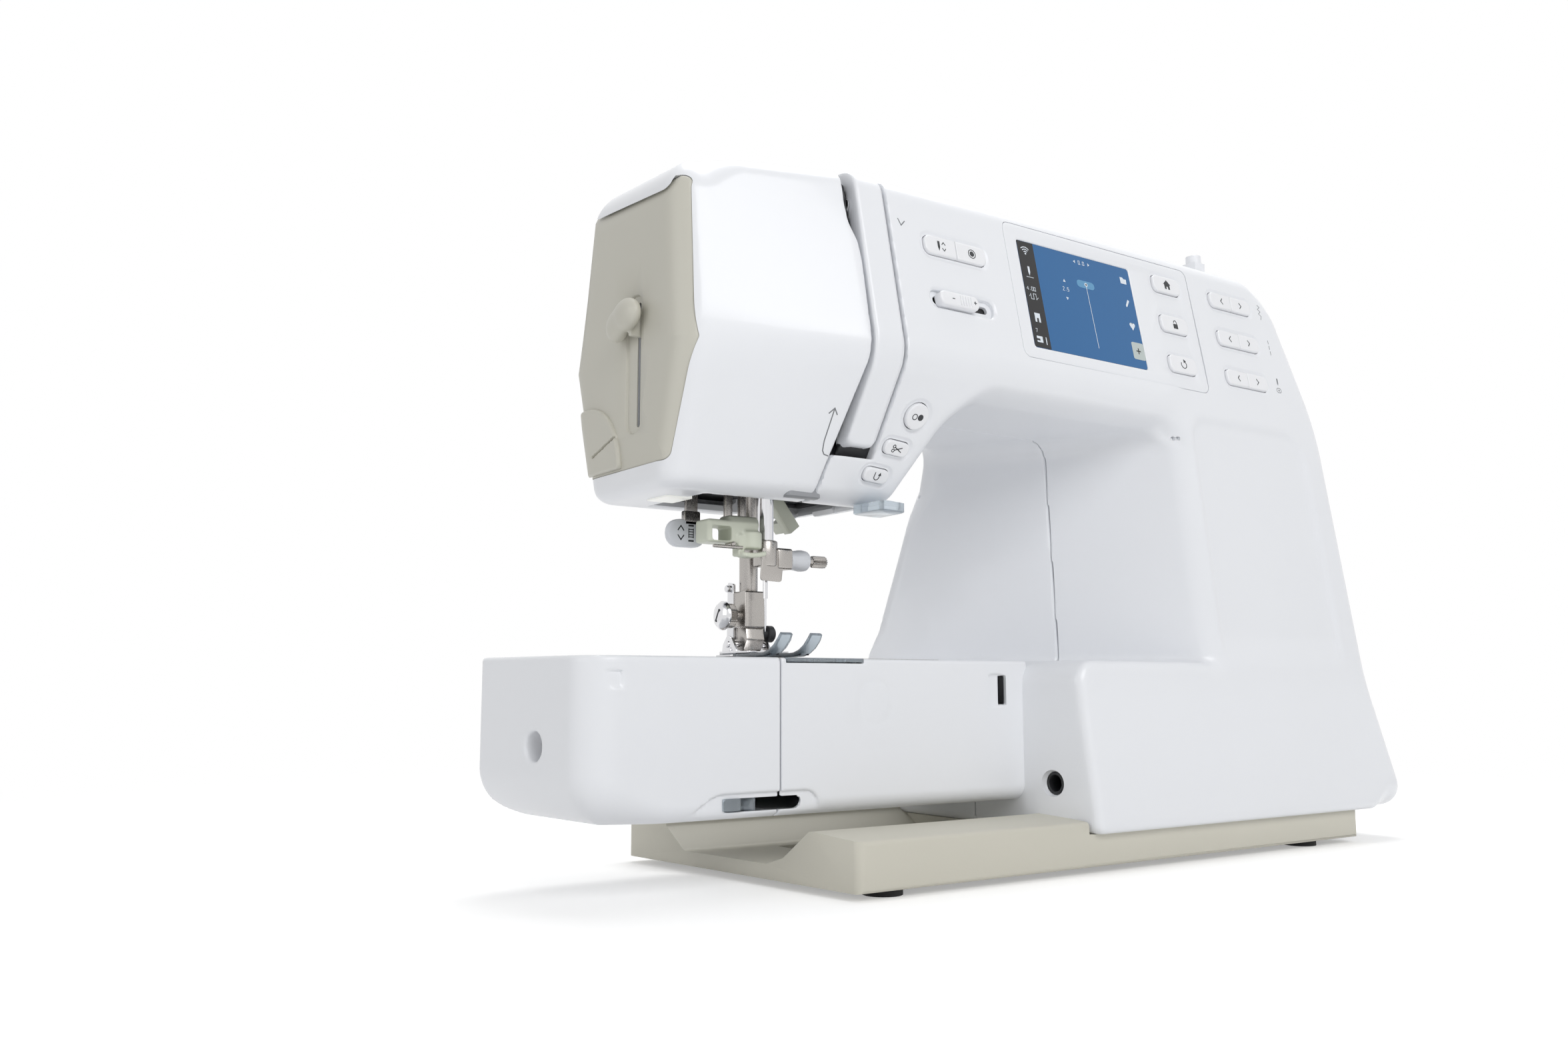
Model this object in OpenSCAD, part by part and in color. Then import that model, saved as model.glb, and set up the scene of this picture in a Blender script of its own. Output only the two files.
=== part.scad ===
// Computerised free-arm sewing machine.
// Every piece is drawn in needle coordinates: the needle's axis is x = 0, y = 0, +x runs to the
// handwheel, +y to the back and z = 0 is the table. place() then moves the piece to the machine's
// own frame, whose origin is the middle of its footprint.

/* [Housing] */
// Distance from the needle to the left end of the head
head_left = 66; // [60:1:80]
// Distance from the needle to the throat wall, at the back
throat_w = 148; // [136:1:180]
// Height of the throat's ceiling above the table
ceiling_z = 201; // [196:1:206]
// Height of the crease across the front faces
crease_z = 211.5; // [209:0.5:216]
// Distance from the needle to the front crease
crease_y = 66; // [62:1:72]
// Distance from the needle to the rear crease
rear_crease_y = 56; // [50:1:62]
// Height of the top's front edge
top_z = 293; // [284:1:300]
// Height of the head's underside
head_bottom_z = 155; // [150:1:160]
// Lean of the upper front face
upper_lean = 11.3; // [9:0.1:13]
// Lean of the lower front face
lower_lean = 32; // [29:0.5:34]
// Distance from the needle to the right side at crease height
right_x = 313; // [300:1:330]
// Outward lean of the right side
side_lean = 14.5; // [10:0.5:16]
// Wall thickness of the plastic shells
wall = 2.6; // [2:0.1:3.2]
// Distance from the needle to the front of the lower housing
front_y = 74; // [70:1:80]
// Distance from the needle to the back of the lower housing
rear_y = 84; // [80:1:94]

/* [Free arm] */
// Height of the bed above the table
bed_z = 90.5; // [86:0.5:94]
// Height of the free arm's underside
arm_bottom_z = 29; // [26:1:34]
// Distance from the needle to the free arm's left end
arm_left = 110; // [100:1:116]
// Distance from the needle to the free arm's front
arm_front = 35; // [33:1:38]
// Distance from the needle to the free arm's back
arm_rear = 42; // [40:1:50]
// Distance from the needle to the step of the lower housing
step_x = 119; // [110:1:130]
// Distance from the needle to the seam of the free arm's left cover
arm_seam_x = 15.8; // [12:0.1:22]

/* [Base] */
// Height of the rubber feet
foot_h = 3; // [2:0.5:5]
// Height of the plinth above the feet
plinth_h = 13.8; // [12:0.2:16]
// Distance from the needle to the plinth's front
base_front = 69; // [66:1:72]
// Distance from the needle to the plinth's back
base_rear = 81; // [76:1:84]
// Distance from the needle to the plinth's right end
base_right = 320; // [300:1:326]
// Height of the toe bar above the table
toe_h = 22; // [19:0.5:24]

/* [Stitching parts] */
// Diameter of the needle bar
needle_bar_d = 7; // [6:0.1:8]
// Diameter of the presser bar
presser_bar_d = 8; // [7:0.1:9]
// Distance from the needle to the presser bar
presser_y = 13; // [12:0.5:15]
// Height of the main shaft's axis
shaft_z = 243; // [238:1:248]
// Diameter of the main shaft
shaft_d = 12; // [10:0.5:14]
// Height of the lower shaft's axis
lower_shaft_z = 49; // [47:0.5:51]
// Radius of the rotary hook
hook_r = 15; // [14:0.5:15.5]
// Diameter of the handwheel
handwheel_d = 64; // [56:1:70]
// Radial running clearance of a shaft in its bush
running = 0.05; // [0.02:0.01:0.08]
// Gap between pieces that move past each other
gap = 0.4; // [0.3:0.05:0.6]

/* [Keys] */
// Height of the key caps above the face
key_proud = 1; // [0.6:0.1:1.6]
// Gap round each key cap
key_gap = 0.4; // [0.3:0.05:0.6]
// Width of the display
screen_w = 75; // [70:1:80]
// Height of the display
screen_h = 52.8; // [48:0.2:56]

/* [Hidden] */
$fn = 48;
white = [0.93, 0.94, 0.95];
beige = [0.78, 0.775, 0.74];
cream = [0.86, 0.86, 0.8];
steel = [0.7, 0.7, 0.72];
big = 800;
arc_steps = 6;

// ---- derived sizes --------------------------------------------------------------------------
plinth_top = foot_h + plinth_h;
housing_z = plinth_top;
side_slope = tan(side_lean);
right_bottom_x = right_x + (crease_z - housing_z) * side_slope;
right_top_x = right_x - (top_z + 4 - crease_z) * side_slope;
lower_drop = (crease_z - head_bottom_z) / cos(lower_lean);
lower_edge_y = crease_y - (crease_z - head_bottom_z) * tan(lower_lean);
upper_len = (top_z - crease_z) / cos(upper_lean);
top_edge_y = crease_y - (top_z - crease_z) * tan(upper_lean);
cover_edge_x = 8;
strip_x0 = 9.2;
strip_x1 = 22.6;
head_slant = 19;
throat_slant = 27;
throat_low_slant = 34;
throat_tilt = 7;
ledge = 0.02;
seam_y = -3;
column_front = 65.5;
column_x = 192;
bulge_z = bed_z - 8;
edge_r = 12;
arm_slant = 10.5;
arm_corner_r = 5;
arm_depth = arm_front + arm_rear;
bottom_corner_r = 14;
front_corner_r = 3;
bulge_slope = (front_y - column_front) / (bulge_z - housing_z);
// How far rounding a corner by r pulls in its outermost point, where one side has this slope.
function pull_in(r, slope) = r * (sqrt(1 + slope * slope) + slope - 1);
machine_left = arm_left - pull_in(arm_corner_r, arm_slant / arm_depth);
machine_right = right_bottom_x - pull_in(bottom_corner_r, side_slope);
machine_front = front_y - pull_in(front_corner_r, bulge_slope);
center_x = (machine_right - machine_left) / 2;
center_y = (rear_y - machine_front) / 2;

top_rear_y = 38;
top_left_z = 286;
top_rise = 4;
head_right = 43;
head_right_top = 63;
head_lower_lean = 14;
throat_rear_y = 33;
cover_rear_y = 36;
strip_rear_y = 30;
strip_end_z = 176.7;
groove = 1.2;
panel_t = 1.4;
lamp_x = -47;
screen_x = 138.2;
screen_s = 42.6;
bezel_x0 = 92.7;
bezel_x1 = 220.5;
bezel_s0 = 10.2;
bezel_s1 = 77;
bezel_depth = 1.4;
key_depth = 4.6;
board_depth = 12;
menu_x = 202.4;
menu_s = [65.3, 43.9, 22.5];
arrow_x = 252.7;
arrow_s = [64.5, 43.3, 21.7];
start_d = 11.6;
slider_x = 60.7;
slider_s = 29.5;
slider_slot = 36;
slider_knob_x = 57;
arm_wall = 2.2;
plate_x0 = -15;
plate_x1 = 68;
plate_y0 = -33;
plate_y1 = 38;
plate_t = 2;
cap_x = 31.1;
cap_z = 72.7;
cap_d = 19;
cap_groove = 0.5;
knee_y = -50;
knee_z = 37.1;
knee_bore = 7.2;
knee_bush_d = 10;
knee_bush_l = 8;
screw_z = 57;
screw_d = 4;
floor_z = 9;
foot_d = 16;
foot_places = [[16.7, -56], [286.7, -56], [2, 68], [286.7, 68]];
frame_y = 26;
frame_t = 6;
upper_webs = [30, 150, right_x - 51];
lower_webs = [24, 92, right_x - 63];
lower_shaft_y = 2;
lower_d = 10;
hook_y = -17;
hook_z = 67;
hook_top_z = 85.4;
hook_gear_r = (lower_shaft_y - hook_y) / 2 - gap;
case_r = hook_r - 1.5 - gap;
bobbin_r = 10;
bobbin_play = 1.2;
bobbin_z = hook_z + 4 + gap;
spindle_d = 6;
motor_x = right_x - 101;
motor_y = -6;
motor_z = 120;
motor_d = 46;
rotor_d = 5;
pinion_r = 4;
drive_r = 21;
drive_x = right_x - 29;
timing_x = right_x - 40;
timing_r = 14;
crank_x = 11;
crank_r = 21;
shaft_end_x = right_x - 7;
wheel_x = right_x + 1.5;
bar_end_z = 137;
clamp_z = 129;
needle_d = 2;
needle_tip_z = 102;
presser_end_z = 108;
foot_pin_z = 97;
foot_gap = 0.7;
foot_w = 38;
take_up_y = -24;
take_up_z = 268;
lifter_x = 14;
lifter_z = 168;
threader_x = -19;
threader_rod_d = 4;
feed_top_z = bed_z - 0.3;
feed_y0 = -4.8;
winder_x = right_x - 81;
winder_y = -22;
tub_z = top_z - 31;
spool_y = -18;
spool_z = 281;
handle_pivots = [62, 222];
handle_y = 31;
handle_z = top_z + 9;
socket_y = 30;
socket_z = 90;
rocker_w = 20;
rocker_h = 12;

module place() { translate([-center_x, -center_y, 0]) children(); }

// ---- outlines with rounded corners ----------------------------------------------------------
// Each outline point is [u, v, radius]; the result is a list of [u, v].
function unit(v) = v / norm(v);
function corner(a, p, b, r) =
    let (da = unit(a - p), db = unit(b - p), half = acos(da * db) / 2,
         c = p + unit(da + db) * r / sin(half), t = r / tan(half),
         s = p + da * t - c, e = p + db * t - c,
         a0 = atan2(s.y, s.x), turn = (atan2(e.y, e.x) - a0 + 540) % 360 - 180)
    [for (i = [0:arc_steps]) c + r * [cos(a0 + turn * i / arc_steps), sin(a0 + turn * i / arc_steps)]];
function xy(p) = [p.x, p.y];
function rounded(pts) = let (n = len(pts)) [for (i = [0:n - 1])
    let (a = xy(pts[(i + n - 1) % n]), p = xy(pts[i]), b = xy(pts[(i + 1) % n]))
    each (pts[i].z == 0 ? [p] : corner(a, p, b, pts[i].z))];

// An outline in the x-z plane, extruded from front to back.
module along_y(y0, y1) { translate([0, y1, 0]) rotate([90, 0, 0]) linear_extrude(y1 - y0) children(); }
// An outline in the y-z plane, extruded from left to right.
module along_x(x0, x1) {
    translate([x0, 0, 0]) rotate([90, 0, 90]) linear_extrude(x1 - x0) children();
}
module disc_x(x0, x1, y, z, d) { translate([x0, y, z]) rotate([0, 90, 0]) cylinder(h = x1 - x0, d = d); }
module disc_y(y0, y1, x, z, d) { translate([x, y1, z]) rotate([90, 0, 0]) cylinder(h = y1 - y0, d = d); }
module disc_z(z0, z1, x, y, d) { translate([x, y, z0]) cylinder(h = z1 - z0, d = d); }
module block(x0, x1, y0, y1, z0, z1) { translate([x0, y0, z0]) cube([x1 - x0, y1 - y0, z1 - z0]); }
module rounded_rect(w, h, r) {
    polygon(rounded([[-w / 2, -h / 2, r], [w / 2, -h / 2, r], [w / 2, h / 2, r], [-w / 2, h / 2, r]]));
}

// The upper front face: x to the right, y up the face from the crease, z out of it.
module on_upper(x, s) {
    translate([x, -crease_y + s * sin(upper_lean), crease_z + s * cos(upper_lean)])
        rotate([90 - upper_lean, 0, 0]) children();
}
// The lower front face: y runs up towards the crease.
module on_lower(x, s) {
    translate([x, -crease_y - s * sin(lower_lean), crease_z + s * cos(lower_lean)])
        rotate([90 + lower_lean, 0, 0]) children();
}

// ---- the housing's outer form, drawn w inside its skin ----------------------------------------
module inset(w) { offset(delta = -w) children(); }
module head_side_profile() {
    polygon(rounded([[-lower_edge_y, head_bottom_z, 4], [-crease_y, crease_z, 4],
        [-top_edge_y, top_z, 6], [top_rear_y, top_z + 6, 10], [rear_crease_y, crease_z + 2, 5],
        [top_rear_y - 1, head_bottom_z, 6]]));
}
module head_front_profile() {
    polygon(rounded([[-head_left, head_bottom_z, 12], [-head_left, top_z + 4, 0],
        [right_top_x, top_z + 4, 26], [right_x + (crease_z - ceiling_z) * side_slope, ceiling_z, 0],
        [head_right_top, ceiling_z, 8], [head_right, head_bottom_z, 8]]));
}
// The top falls to the left over the head.
module head_top_profile() {
    polygon(rounded([[-head_left, 0, 0], [-head_left, top_left_z, 16],
        [cover_edge_x, top_z - 2, 0], [right_x, top_z + 2, 0], [right_x + big / 8, 0, 0]]));
}
// The vertical wall that slants the head's front to the left.
module head_plan() {
    polygon(rounded([[-head_left, -crease_y + (head_left + cover_edge_x) * tan(head_slant), 10],
        [cover_edge_x, -crease_y, 0], [big, -crease_y, 0], [big, rear_y, 0],
        [-head_left, rear_y, 0]]));
}
// Cuts the lower left front of the head back to its slanted, leaning face.
module head_lower_cut(w) {
    translate([cover_edge_x, -crease_y, crease_z]) rotate([0, 0, -head_slant])
        rotate([head_lower_lean, 0, 0]) translate([-big / 2, -big + w, -big / 2])
            cube([big, big, big / 2]);
}
module arm_form(w) {
    difference() {
        intersection() {
            along_x(-big / 2, big / 2) inset(w) head_side_profile();
            along_y(-big / 2, big / 2) inset(w) head_front_profile();
            translate([0, -top_edge_y, top_z]) rotate([top_rise, 0, 0]) translate([0, 0, -top_z])
                along_y(-big / 2, big / 2) inset(w) head_top_profile();
            linear_extrude(big) inset(w) head_plan();
        }
        head_lower_cut(w);
    }
}
module column_side_profile() {
    polygon(rounded([[-front_y, housing_z, front_corner_r], [-column_front, bulge_z, 20],
        [-column_front, crease_z, 0], [rear_crease_y, crease_z, 0], [rear_y, bed_z + 40, 30],
        [rear_y, housing_z, 3]]));
}
module column_front_profile() {
    polygon(rounded([[step_x, housing_z, 2], [step_x, bed_z - ledge, 10],
        [throat_w - 20, bed_z - ledge, 0], [throat_w - 20, ceiling_z, 0],
        [column_x, ceiling_z, 0], [column_x, crease_z, 0],
        [right_x, crease_z, 0], [right_bottom_x, housing_z, bottom_corner_r]]));
}
module column_form(w) {
    intersection() {
        along_x(-big / 2, big / 2) inset(w) column_side_profile();
        along_y(-big / 2, big / 2) inset(w) column_front_profile();
    }
}
// The throat's hollow: its right wall is slanted, so that it opens towards the front.
module throat_form(w) {
    intersection() {
        union() {
            translate([throat_w + w, throat_rear_y, 0]) rotate([0, 0, throat_slant])
                along_y(-big / 2, big / 2) polygon(rounded([[-big / 2, bed_z - w, 0],
                    [0, bed_z - w, 3], [0, ceiling_z + w, 12], [-big / 2, ceiling_z + w, 0]]));
            // the wall opens further towards the bed
            intersection() {
                translate([throat_w, throat_rear_y, bed_z]) rotate([0, 0, throat_low_slant])
                    rotate([0, -throat_tilt, 0]) block(-big, w, -big, big, -big, big);
                block(0, big, -big, big, bed_z - w, ceiling_z + w - 0.1);
            }
        }
        along_y(-big / 2, big / 2) polygon([[head_right - w, 0], [head_right - w, head_bottom_z],
            [head_right_top - w, ceiling_z + w], [right_x, ceiling_z + w], [right_x, 0]]);
    }
}
// Rounds the edge between the right side and a front face that passes (y, z) with this lean.
module edge_cut(y, z, lean, z0, z1, w) {
    intersection() {
        block(throat_w, big, -big, big, z0, z1);
        translate([right_x + (crease_z - z) * side_slope, y, z]) rotate([0, -side_lean, 0])
            rotate([-atan(cos(side_lean) * tan(lean)), 0, 0]) difference() {
                translate([-edge_r, -big, -big / 2]) cube([big, big + edge_r, big]);
                translate([-edge_r, edge_r, -big]) cylinder(h = 2 * big, r = edge_r - w);
            }
    }
}
module housing_form(w) {
    difference() {
        union() {
            arm_form(w);
            column_form(w);
        }
        throat_form(w);
        edge_cut(-crease_y, crease_z, upper_lean, crease_z, big, w);
        edge_cut(-column_front, bulge_z, 0, bulge_z, crease_z, w);
        edge_cut(-column_front, bulge_z, atan(bulge_slope), 0,
            bulge_z, w);
    }
}
module housing_skin() {
    difference() {
        housing_form(0);
        housing_form(wall);
    }
}

// ---- where the openings in the housing lie ----------------------------------------------------
module screen_opening(grow) {
    on_upper(screen_x, screen_s) translate([0, 0, -bezel_depth - wall])
        linear_extrude(2 * wall + bezel_depth) rounded_rect(screen_w + grow, screen_h + grow, 1.5);
}
module bezel_outline(grow, z0, z1) {
    on_upper((bezel_x0 + bezel_x1) / 2, (bezel_s0 + bezel_s1) / 2) translate([0, 0, z0])
        linear_extrude(z1 - z0)
            rounded_rect(bezel_x1 - bezel_x0 + grow, bezel_s1 - bezel_s0 + grow, 4);
}
module upper_pill(x, s, w, h, grow, z0, z1) {
    on_upper(x, s) translate([0, 0, z0]) linear_extrude(z1 - z0)
        rounded_rect(w + 2 * grow, h + 2 * grow, h / 2 - 0.5 + grow);
}
module lower_pill(x, s, w, h, grow, z0, z1) {
    on_lower(x, s) rotate([0, 0, -5]) translate([0, 0, z0]) linear_extrude(z1 - z0)
        rounded_rect(w + 2 * grow, h + 2 * grow, h / 2 - 0.3 + grow);
}
// Every key as a plug: grown by key_gap it cuts the hole, at 0 it is the cap.
module menu_key(s, grow, z0, z1) { upper_pill(menu_x, s, 20, 8.8, grow, z0, z1); }
module arrow_pair(s, grow, z0, z1) { upper_pill(arrow_x, s, 33, 8.2, grow, z0, z1); }
module needle_pair(grow, z0, z1) { upper_pill(60.5, 54.3, 35, 8.6, grow, z0, z1); }
module start_stop(grow, z0, z1) {
    on_lower(40, -25) translate([0, 0, z0]) cylinder(h = z1 - z0, d = start_d + 2 * grow);
}
module key_holes() {
    for (s = menu_s) menu_key(s, key_gap, -key_depth, 2 * wall);
    for (s = arrow_s) arrow_pair(s, key_gap, -key_depth, 2 * wall);
    needle_pair(key_gap, -key_depth, 2 * wall);
    start_stop(key_gap, -key_depth, 2 * wall);
    lower_pill(35.3, -40, 13, 6.3, key_gap, -key_depth, 2 * wall);
    lower_pill(29.8, -53, 13, 6.3, key_gap, -key_depth, 2 * wall);
    upper_pill(slider_x, slider_s, slider_slot, 7, 0, -key_depth, 2 * wall);
}
module head_window() {
    block(-42, 34, -20, 24, head_bottom_z - wall, head_bottom_z + 2 * wall);
    block(20, 40, 14, 33, head_bottom_z - wall, head_bottom_z + 2 * wall);
}
module collar(d) { disc_x(shaft_end_x - 24, wheel_x - gap, 0, shaft_z, d); }
module side_screws(d, z0, z1) {
    for (x = [150, right_x - 13], y = [20 - front_y, rear_y - 16]) disc_z(z0, z1, x, y, d);
}

// The right side: x runs to the back, y up the slope, z out of it.
module on_side(y, z) {
    translate([right_x + (crease_z - z) * side_slope, y, z]) rotate([0, -side_lean, 0])
        rotate([90, 0, 90]) children();
}
module socket_outline(grow) { rounded_rect(44 + grow, 66 + grow, 4); }

module front_housing() {
    color(white) place() difference() {
        intersection() {
            housing_skin();
            union() {
                block(strip_x1 + groove, big, -big, seam_y, 0, big);
                block(cover_edge_x + groove, strip_x1 + groove, -big, seam_y, 0,
                    strip_end_z - 2 * groove);
            }
        }
        key_holes();
        bezel_outline(0, -bezel_depth, 2 * wall);
        screen_opening(0);
        head_window();
        top_opening(0);
        collar(handwheel_d - 6);
        lower_passage();
        side_screws(screw_d + gap, 0, housing_z + 2 * wall);
        disc_x(step_x - wall, step_x + 2 * wall, knee_y, knee_z, knee_bush_d);
        disc_z(top_z - 12, big, winder_x, winder_y, spindle_d + 2 * running);
        block(winder_x + 20, winder_x + 28, winder_y - 12, winder_y - 4, top_z - 12, big);
    }
}
module rear_housing() {
    color(white) place() difference() {
        union() {
            intersection() {
                housing_skin();
                union() {
                    block(strip_x1 + groove, big, seam_y, big, 0, big);
                    block(cover_edge_x, strip_x1 + groove, strip_rear_y, big, 0, big);
                    block(-big, cover_edge_x, cover_rear_y, big, 0, big);
                    block(cover_edge_x + groove, strip_x1 + groove, seam_y, big, 0, crease_z);
                }
            }
            difference() {
                collar(handwheel_d - 6);
                housing_form(wall);
            }
            // the lugs and pins that hold the carrying handle
            for (x = handle_pivots) {
                for (lug = [x - 8 - gap, x + 5 + gap]) block(lug, lug + 3, handle_y - 4,
                    handle_y + 4, top_z + 2, handle_z + 3);
                disc_x(x - 6 - gap, x + 6 + gap, handle_y, handle_z, 3);
            }
        }
        head_window();
        panel_outline(0, -head_left - 1, -head_left + panel_t);
        top_opening(0);
        lower_passage();
        side_screws(screw_d + gap, 0, housing_z + 2 * wall);
        disc_x(right_top_x - 20, wheel_x, 0, shaft_z, shaft_d + 2 * gap);
        on_side(socket_y, socket_z) translate([0, 0, -2 * wall]) linear_extrude(4 * wall)
            socket_outline(0);
        for (x = handle_pivots) block(x - 5 - gap, x + 5 + gap, handle_y - 7, handle_y + 7,
            top_z - 2, handle_z - 3);
    }
}
// The opening of the free arm into the column.
module lower_passage() {
    block(step_x - wall, step_x + 3 * wall, -30, 38, arm_bottom_z + 4, bed_z - 5);
}
module top_opening(grow) { block(72 + grow, 212 - grow, -36 + grow, 0 - grow, tub_z, big); }
module top_cover() {
    color(white) place() difference() {
        union() {
            intersection() {
                housing_skin();
                top_opening(0);
            }
            intersection() {
                block(72, 212, -36, 0, tub_z, top_z + 2);
                housing_form(0);
            }
        }
        block(72 + wall, 212 - wall, -36 + wall, -wall, tub_z + wall, big);
    }
}
module head_cover() {
    color(white) place() difference() {
        intersection() {
            housing_skin();
            block(-big, cover_edge_x, -big, cover_rear_y, 0, big);
        }
        head_window();
        panel_outline(0, -head_left - 1, -head_left + panel_t);
        threader_slot(-head_left - 1, -head_left + 2 * wall);
        block(lamp_x - 6, lamp_x + 6, -8, 8, head_bottom_z - wall, head_bottom_z + 2 * wall);
    }
}
module panel_outline(grow, x0, x1) {
    along_x(x0, x1) polygon(rounded([[35, 167.5, 4], [-27, 167.5, 4], [-36.5, 211.7, 6],
        [-35, 269, 6], [41, 274, 5], [49, 214, 5]]));
}
module threader_slot(x0, x1) { along_x(x0, x1) translate([-3, 208]) rounded_rect(7, 52, 3); }
module side_panel() {
    color(beige) place() difference() {
        intersection() {
            panel_outline(0, -head_left - 1, -head_left + panel_t);
            housing_form(0);
        }
        threader_slot(-head_left - 1, -head_left + 2 * wall);
        cutter_outline(0, -head_left - 1, -head_left + 2 * wall);
    }
}
module cutter_outline(grow, x0, x1) {
    along_x(x0, x1) polygon(rounded([[35, 167.5, 4], [8, 167.5, 2], [9, 178, 6], [22, 194, 14],
        [37, 195, 0]]));
}
module thread_cutter() {
    color(beige) place() difference() {
        cutter_outline(0, -head_left - 1, -head_left + panel_t);
        // the slit that the thread is drawn through
        translate([-head_left - 1, 20, 172]) rotate([20, 0, 0])
            block(-wall, wall / 2, -10, 20, 0, 1);
    }
}
module thread_strip() {
    color(white) place() intersection() {
        housing_skin();
        block(strip_x0, strip_x1, -big, strip_rear_y, strip_end_z, big);
    }
}

// ---- the free arm --------------------------------------------------------------------------
module free_arm_form(w) {
    intersection() {
        along_x(-big / 2, step_x) inset(w) polygon(rounded([[-arm_front, arm_bottom_z, 7],
            [-arm_front, bed_z, 2], [arm_rear, bed_z, 2], [arm_rear, arm_bottom_z, 7]]));
        linear_extrude(big) inset(w) polygon(rounded([[-arm_left + arm_slant, -arm_front, 14],
            [big / 2, -arm_front, 0], [big / 2, arm_rear, 0], [-arm_left, arm_rear, arm_corner_r]]));
        along_y(-big / 2, big / 2) inset(w) polygon(rounded([[-arm_left - 1, arm_bottom_z, 16],
            [-arm_left - 1, bed_z, 2], [big / 2, bed_z, 0], [big / 2, arm_bottom_z, 0]]));
    }
}
module free_arm_skin() {
    difference() {
        free_arm_form(0);
        free_arm_form(arm_wall);
    }
}
module plate_opening() { block(plate_x0, plate_x1, plate_y0, plate_y1, bed_z - plate_t, big); }
module drop_slot(grow) {
    block(-56 - grow, 2 + grow, -arm_front - 4, -arm_front + 8, 31.5 - grow, 38 + grow);
}
module free_arm_shell() {
    color(white) place() difference() {
        union() {
            intersection() {
                free_arm_skin();
                block(-arm_seam_x, step_x, -big, big, 0, big);
            }
            // the ledge that carries the needle plate
            block(plate_x0 - 0.8, plate_x1 + 3, -arm_front + 1, arm_rear - 1,
                bed_z - plate_t - 1.5, bed_z - 1);
        }
        block(plate_x0 + 3, plate_x1 - 2, plate_y0 + 1.5, plate_y1 - 3, bed_z - plate_t - 2, big);
        plate_opening();
        intersection() {
            cover_outline(gap);
            block(-big, big, -big, 0, bed_z - plate_t, big);
        }
        drop_slot(0);
        difference() {
            disc_y(-arm_front - 1, -arm_front + cap_groove, cap_x, cap_z, cap_d);
            disc_y(-arm_front - 2, -arm_front + 1, cap_x, cap_z, cap_d - 4 * cap_groove);
        }
        block(101.9, 105.9, -arm_front - 1, -arm_front + 2 * arm_wall, 71.2, 83.8);
    }
}
module free_arm_end() {
    color(white) place() difference() {
        union() {
            intersection() {
                free_arm_skin();
                block(-big, -arm_seam_x - 0.2, -big, big, 0, big);
            }
            intersection() {
                disc_x(-arm_left, -92, 0, screw_z, 15);
                free_arm_form(0);
            }
        }
        disc_x(-arm_left - 6, -95, 0, screw_z, 11.5);
        disc_x(-arm_left - 6, -90, 0, screw_z, screw_d);
        drop_slot(0);
        block(-97.7, -86.2, -arm_front - 1, -arm_front + arm_wall - 0.8, 79.3, 84.7);
    }
}
module knee_socket() {
    color(steel) place() difference() {
        disc_x(step_x + 0.2, step_x + knee_bush_l, knee_y, knee_z, knee_bush_d);
        disc_x(step_x - 1, step_x + knee_bush_l + 1, knee_y, knee_z, knee_bore);
    }
}
module cover_outline(grow) { block(-13 - grow, 25 + grow, -arm_front, -6 + grow, 0, big); }
module feed_slots(grow) {
    for (x = [-6.2, 6.2]) block(x - 1.6 - grow, x + 1.6 + grow, feed_y0 - grow,
        12 + grow, 0, big);
}
module needle_plate() {
    color(steel) place() difference() {
        block(plate_x0, plate_x1, plate_y0, plate_y1, bed_z - plate_t, bed_z);
        cover_outline(gap);
        feed_slots(0.6);
        block(-3.5, 3.5, -1.6, 1.6, 0, big);
        for (i = [1:5]) block(20 + 5 * i, 20.6 + 5 * i, -2, 16, bed_z - 0.4, big);
    }
}
module bobbin_cover() {
    color([0.85, 0.88, 0.9]) place() difference() {
        intersection() {
            cover_outline(0);
            block(-big, big, -big, big, bed_z - plate_t + gap, bed_z);
        }
        disc_z(bed_z - 0.8, big, 20, -19, 6);
    }
}

// ---- base ------------------------------------------------------------------------------------
module base() {
    color(cream) place() difference() {
        intersection() {
            union() {
                along_x(-30, step_x) polygon(rounded([[-base_front, foot_h, 2], [-base_front, toe_h, 2],
                    [-41.6, toe_h + 1.8, 3], [-26.3, 12.2, 4], [-16.1, floor_z, 4],
                    [38, floor_z, 4], [51, 18.3, 2], [53, 28.5, 2], [base_rear, 28.5, 3],
                    [base_rear, foot_h, 2]]));
                along_x(step_x - 1, base_right) polygon(rounded([[-base_front, foot_h, 2],
                    [-base_front, plinth_top, 0], [base_rear, plinth_top, 0],
                    [base_rear, foot_h, 2]]));
            }
            difference() {
                linear_extrude(big) polygon(rounded([[-4.4, -base_front, 4],
                    [base_right, -base_front, 5], [base_right, base_rear, 5],
                    [-21, base_rear, 4]]));
                block(step_x, big, -big, big, plinth_top, big);
            }
        }
        block(26, 96, -8, 28, 0, big);
        side_screws(9, 0, plinth_top - 5);
        side_screws(screw_d + gap, 0, big);
        for (p = foot_places) disc_z(0, foot_h + 2, p.x, p.y, foot_d);
    }
}
module rubber_feet() {
    color([0.25, 0.25, 0.26]) place() for (p = foot_places) {
        disc_z(0, foot_h + 2, p.x, p.y, foot_d);
    }
}

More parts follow.
